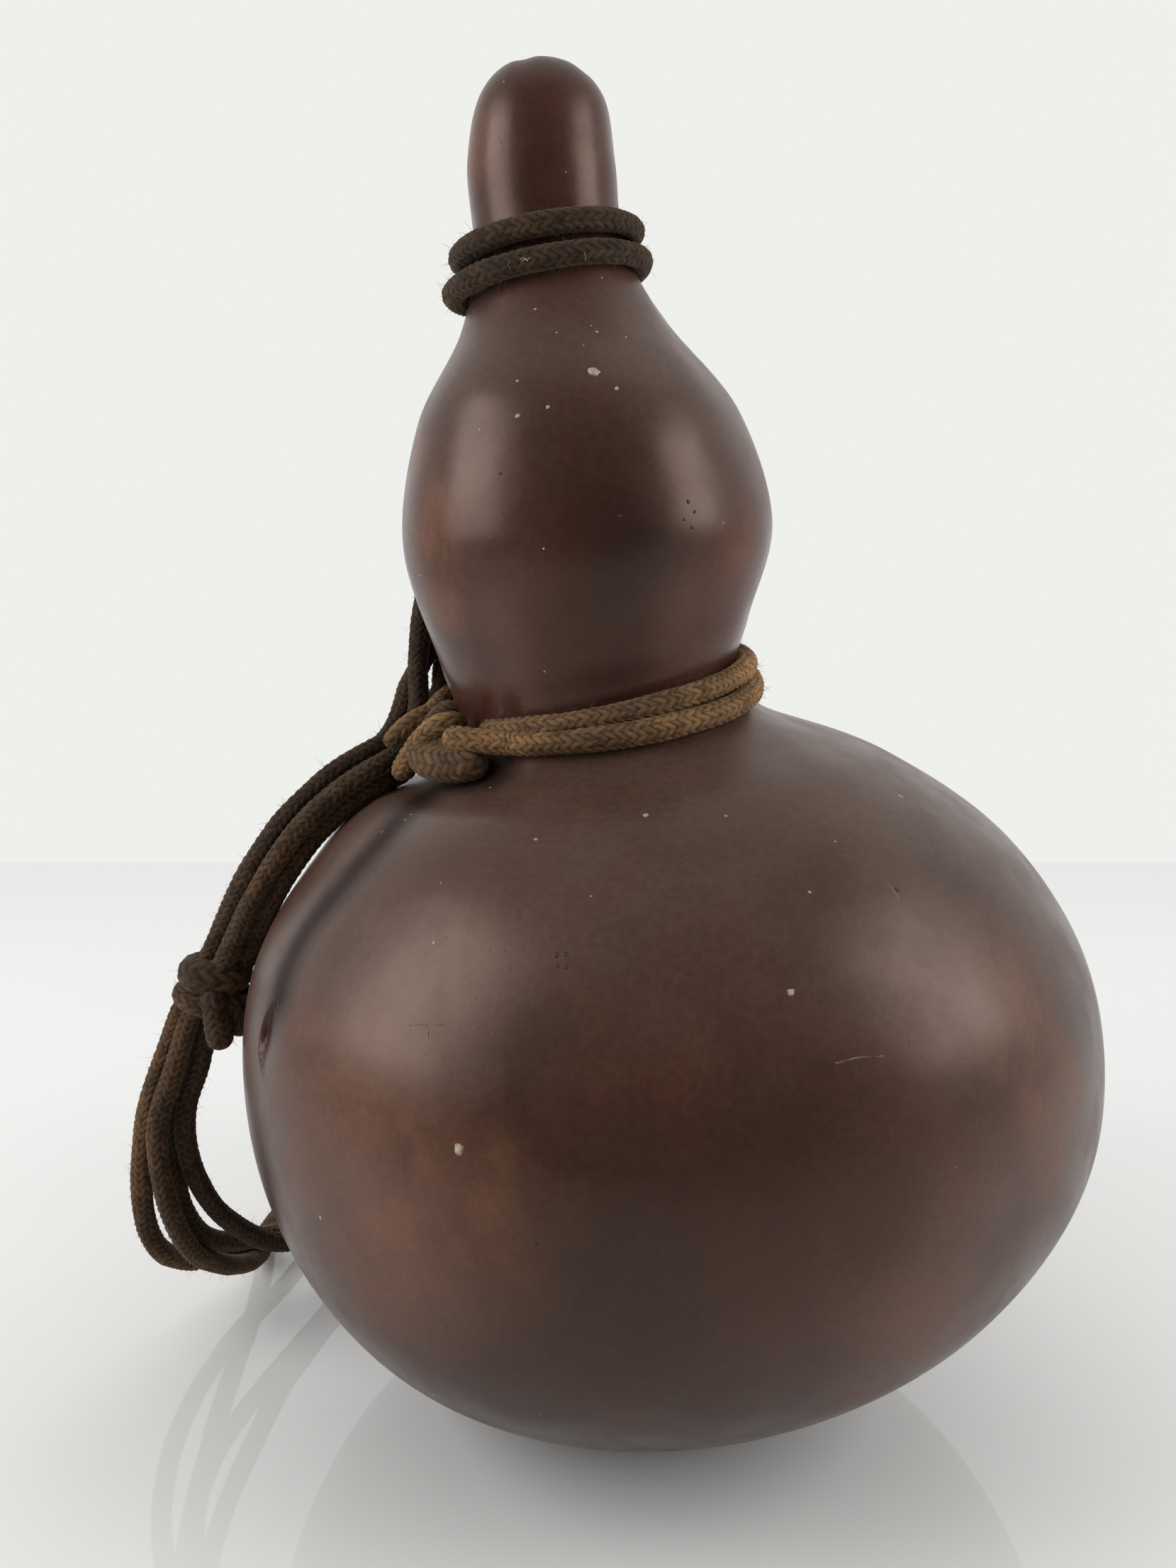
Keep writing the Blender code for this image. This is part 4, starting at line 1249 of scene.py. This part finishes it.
def make_table():
    """A flat square plate, as a grid of smaller squares."""
    stops = np.linspace(-TABLE_HALF, TABLE_HALF, TABLE_STEPS + 1)
    x, y = np.meshgrid(stops, stops)
    points = np.stack([x, y, 0 * x - TABLE_DROP], axis=-1).reshape(-1, 3)
    row, column = np.meshgrid(np.arange(TABLE_STEPS), np.arange(TABLE_STEPS), indexing="ij")
    here = row * (TABLE_STEPS + 1) + column
    above = here + TABLE_STEPS + 1
    quads = np.stack([here, here + 1, above + 1, above], axis=-1).reshape(-1, 4)
    mesh = bpy.data.meshes.new("table")
    mesh.from_pydata(points.tolist(), [], quads.tolist())
    mesh.update()
    return new_object("table", mesh)


def table_finish():
    """A glossy white, a little unevenly grey, with painted shade that greys its front and fades to
    purer white towards the back.
    """
    material, tree, shader, place = new_material("table_finish")
    # Painted shade: greyer at the front, on the photographer's side, and whiter at the back
    far = spread(tree, put(tree, "ShaderNodeSeparateXYZ", {0: place}, 1), -0.15, 0.55)
    near = blend(tree, mottled(tree, place, 5.0), (0.87, 0.87, 0.85, 1), (0.90, 0.90, 0.88, 1))
    colour = blend(tree, far, near, (1.0, 1.0, 0.98, 1))
    fill(tree, shader, {"Base Color": colour, "Roughness": 0.02})
    return material


table = make_table()
table.data.materials.append(table_finish())

# %% Light tent
# Glow of the tent by direction: -1 is the photographer's side and 1 is the back wall
TENT_GLOW = [(-1.0, 0.14), (-0.7, 0.20), (-0.1, 0.58), (0.45, 0.70), (0.85, 1.0)]
BACKDROP = (0.86, 0.87, 0.84, 1)

bpy.context.scene.view_settings.view_transform = "Standard"
world = bpy.data.worlds.new("tent")
bpy.context.scene.world = world
world.use_nodes = True
tree = world.node_tree
direction = put(tree, "ShaderNodeTexCoord", {}, "Generated")
backwards = put(tree, "ShaderNodeSeparateXYZ", {0: direction}, 1)
ramp = tree.nodes.new("ShaderNodeValToRGB")
ramp.color_ramp.interpolation = "EASE"
while len(ramp.color_ramp.elements) < len(TENT_GLOW):
    ramp.color_ramp.elements.new(1.0)
for stop, (where, glow) in zip(ramp.color_ramp.elements, TENT_GLOW):
    stop.position = (where + 1) / 2
    stop.color = (glow, glow, glow, 1)
fill(tree, ramp, {0: sums(tree, "MULTIPLY_ADD", backwards, 0.5, 0.5)})
seen = put(tree, "ShaderNodeLightPath", {}, "Is Camera Ray")
fill(tree, tree.nodes["Background"], {"Color": blend(tree, seen, ramp.outputs[0], BACKDROP)})

LAMPS_AIM = np.array((-0.01, 0, 0.12))
# Lamp name, place, size (width, height) and power in watts
LAMPS = [
    ("left_lamp", (-0.62, -0.22, 0.42), (0.40, 0.55), 3.2),
    ("right_lamp", (0.62, -0.20, 0.42), (0.40, 0.55), 2.7),
]
for name, place, (width, height), power in LAMPS:
    data = bpy.data.lights.new(name, "AREA")
    data.shape = "RECTANGLE"
    data.size = width
    data.size_y = height
    data.energy = power
    lamp = new_object(name, data)
    lamp.location = place
    towards = unit(LAMPS_AIM - np.array(place))
    lamp.rotation_euler = (math.acos(-towards[2]), 0,
                           math.atan2(towards[1], towards[0]) - math.pi / 2)
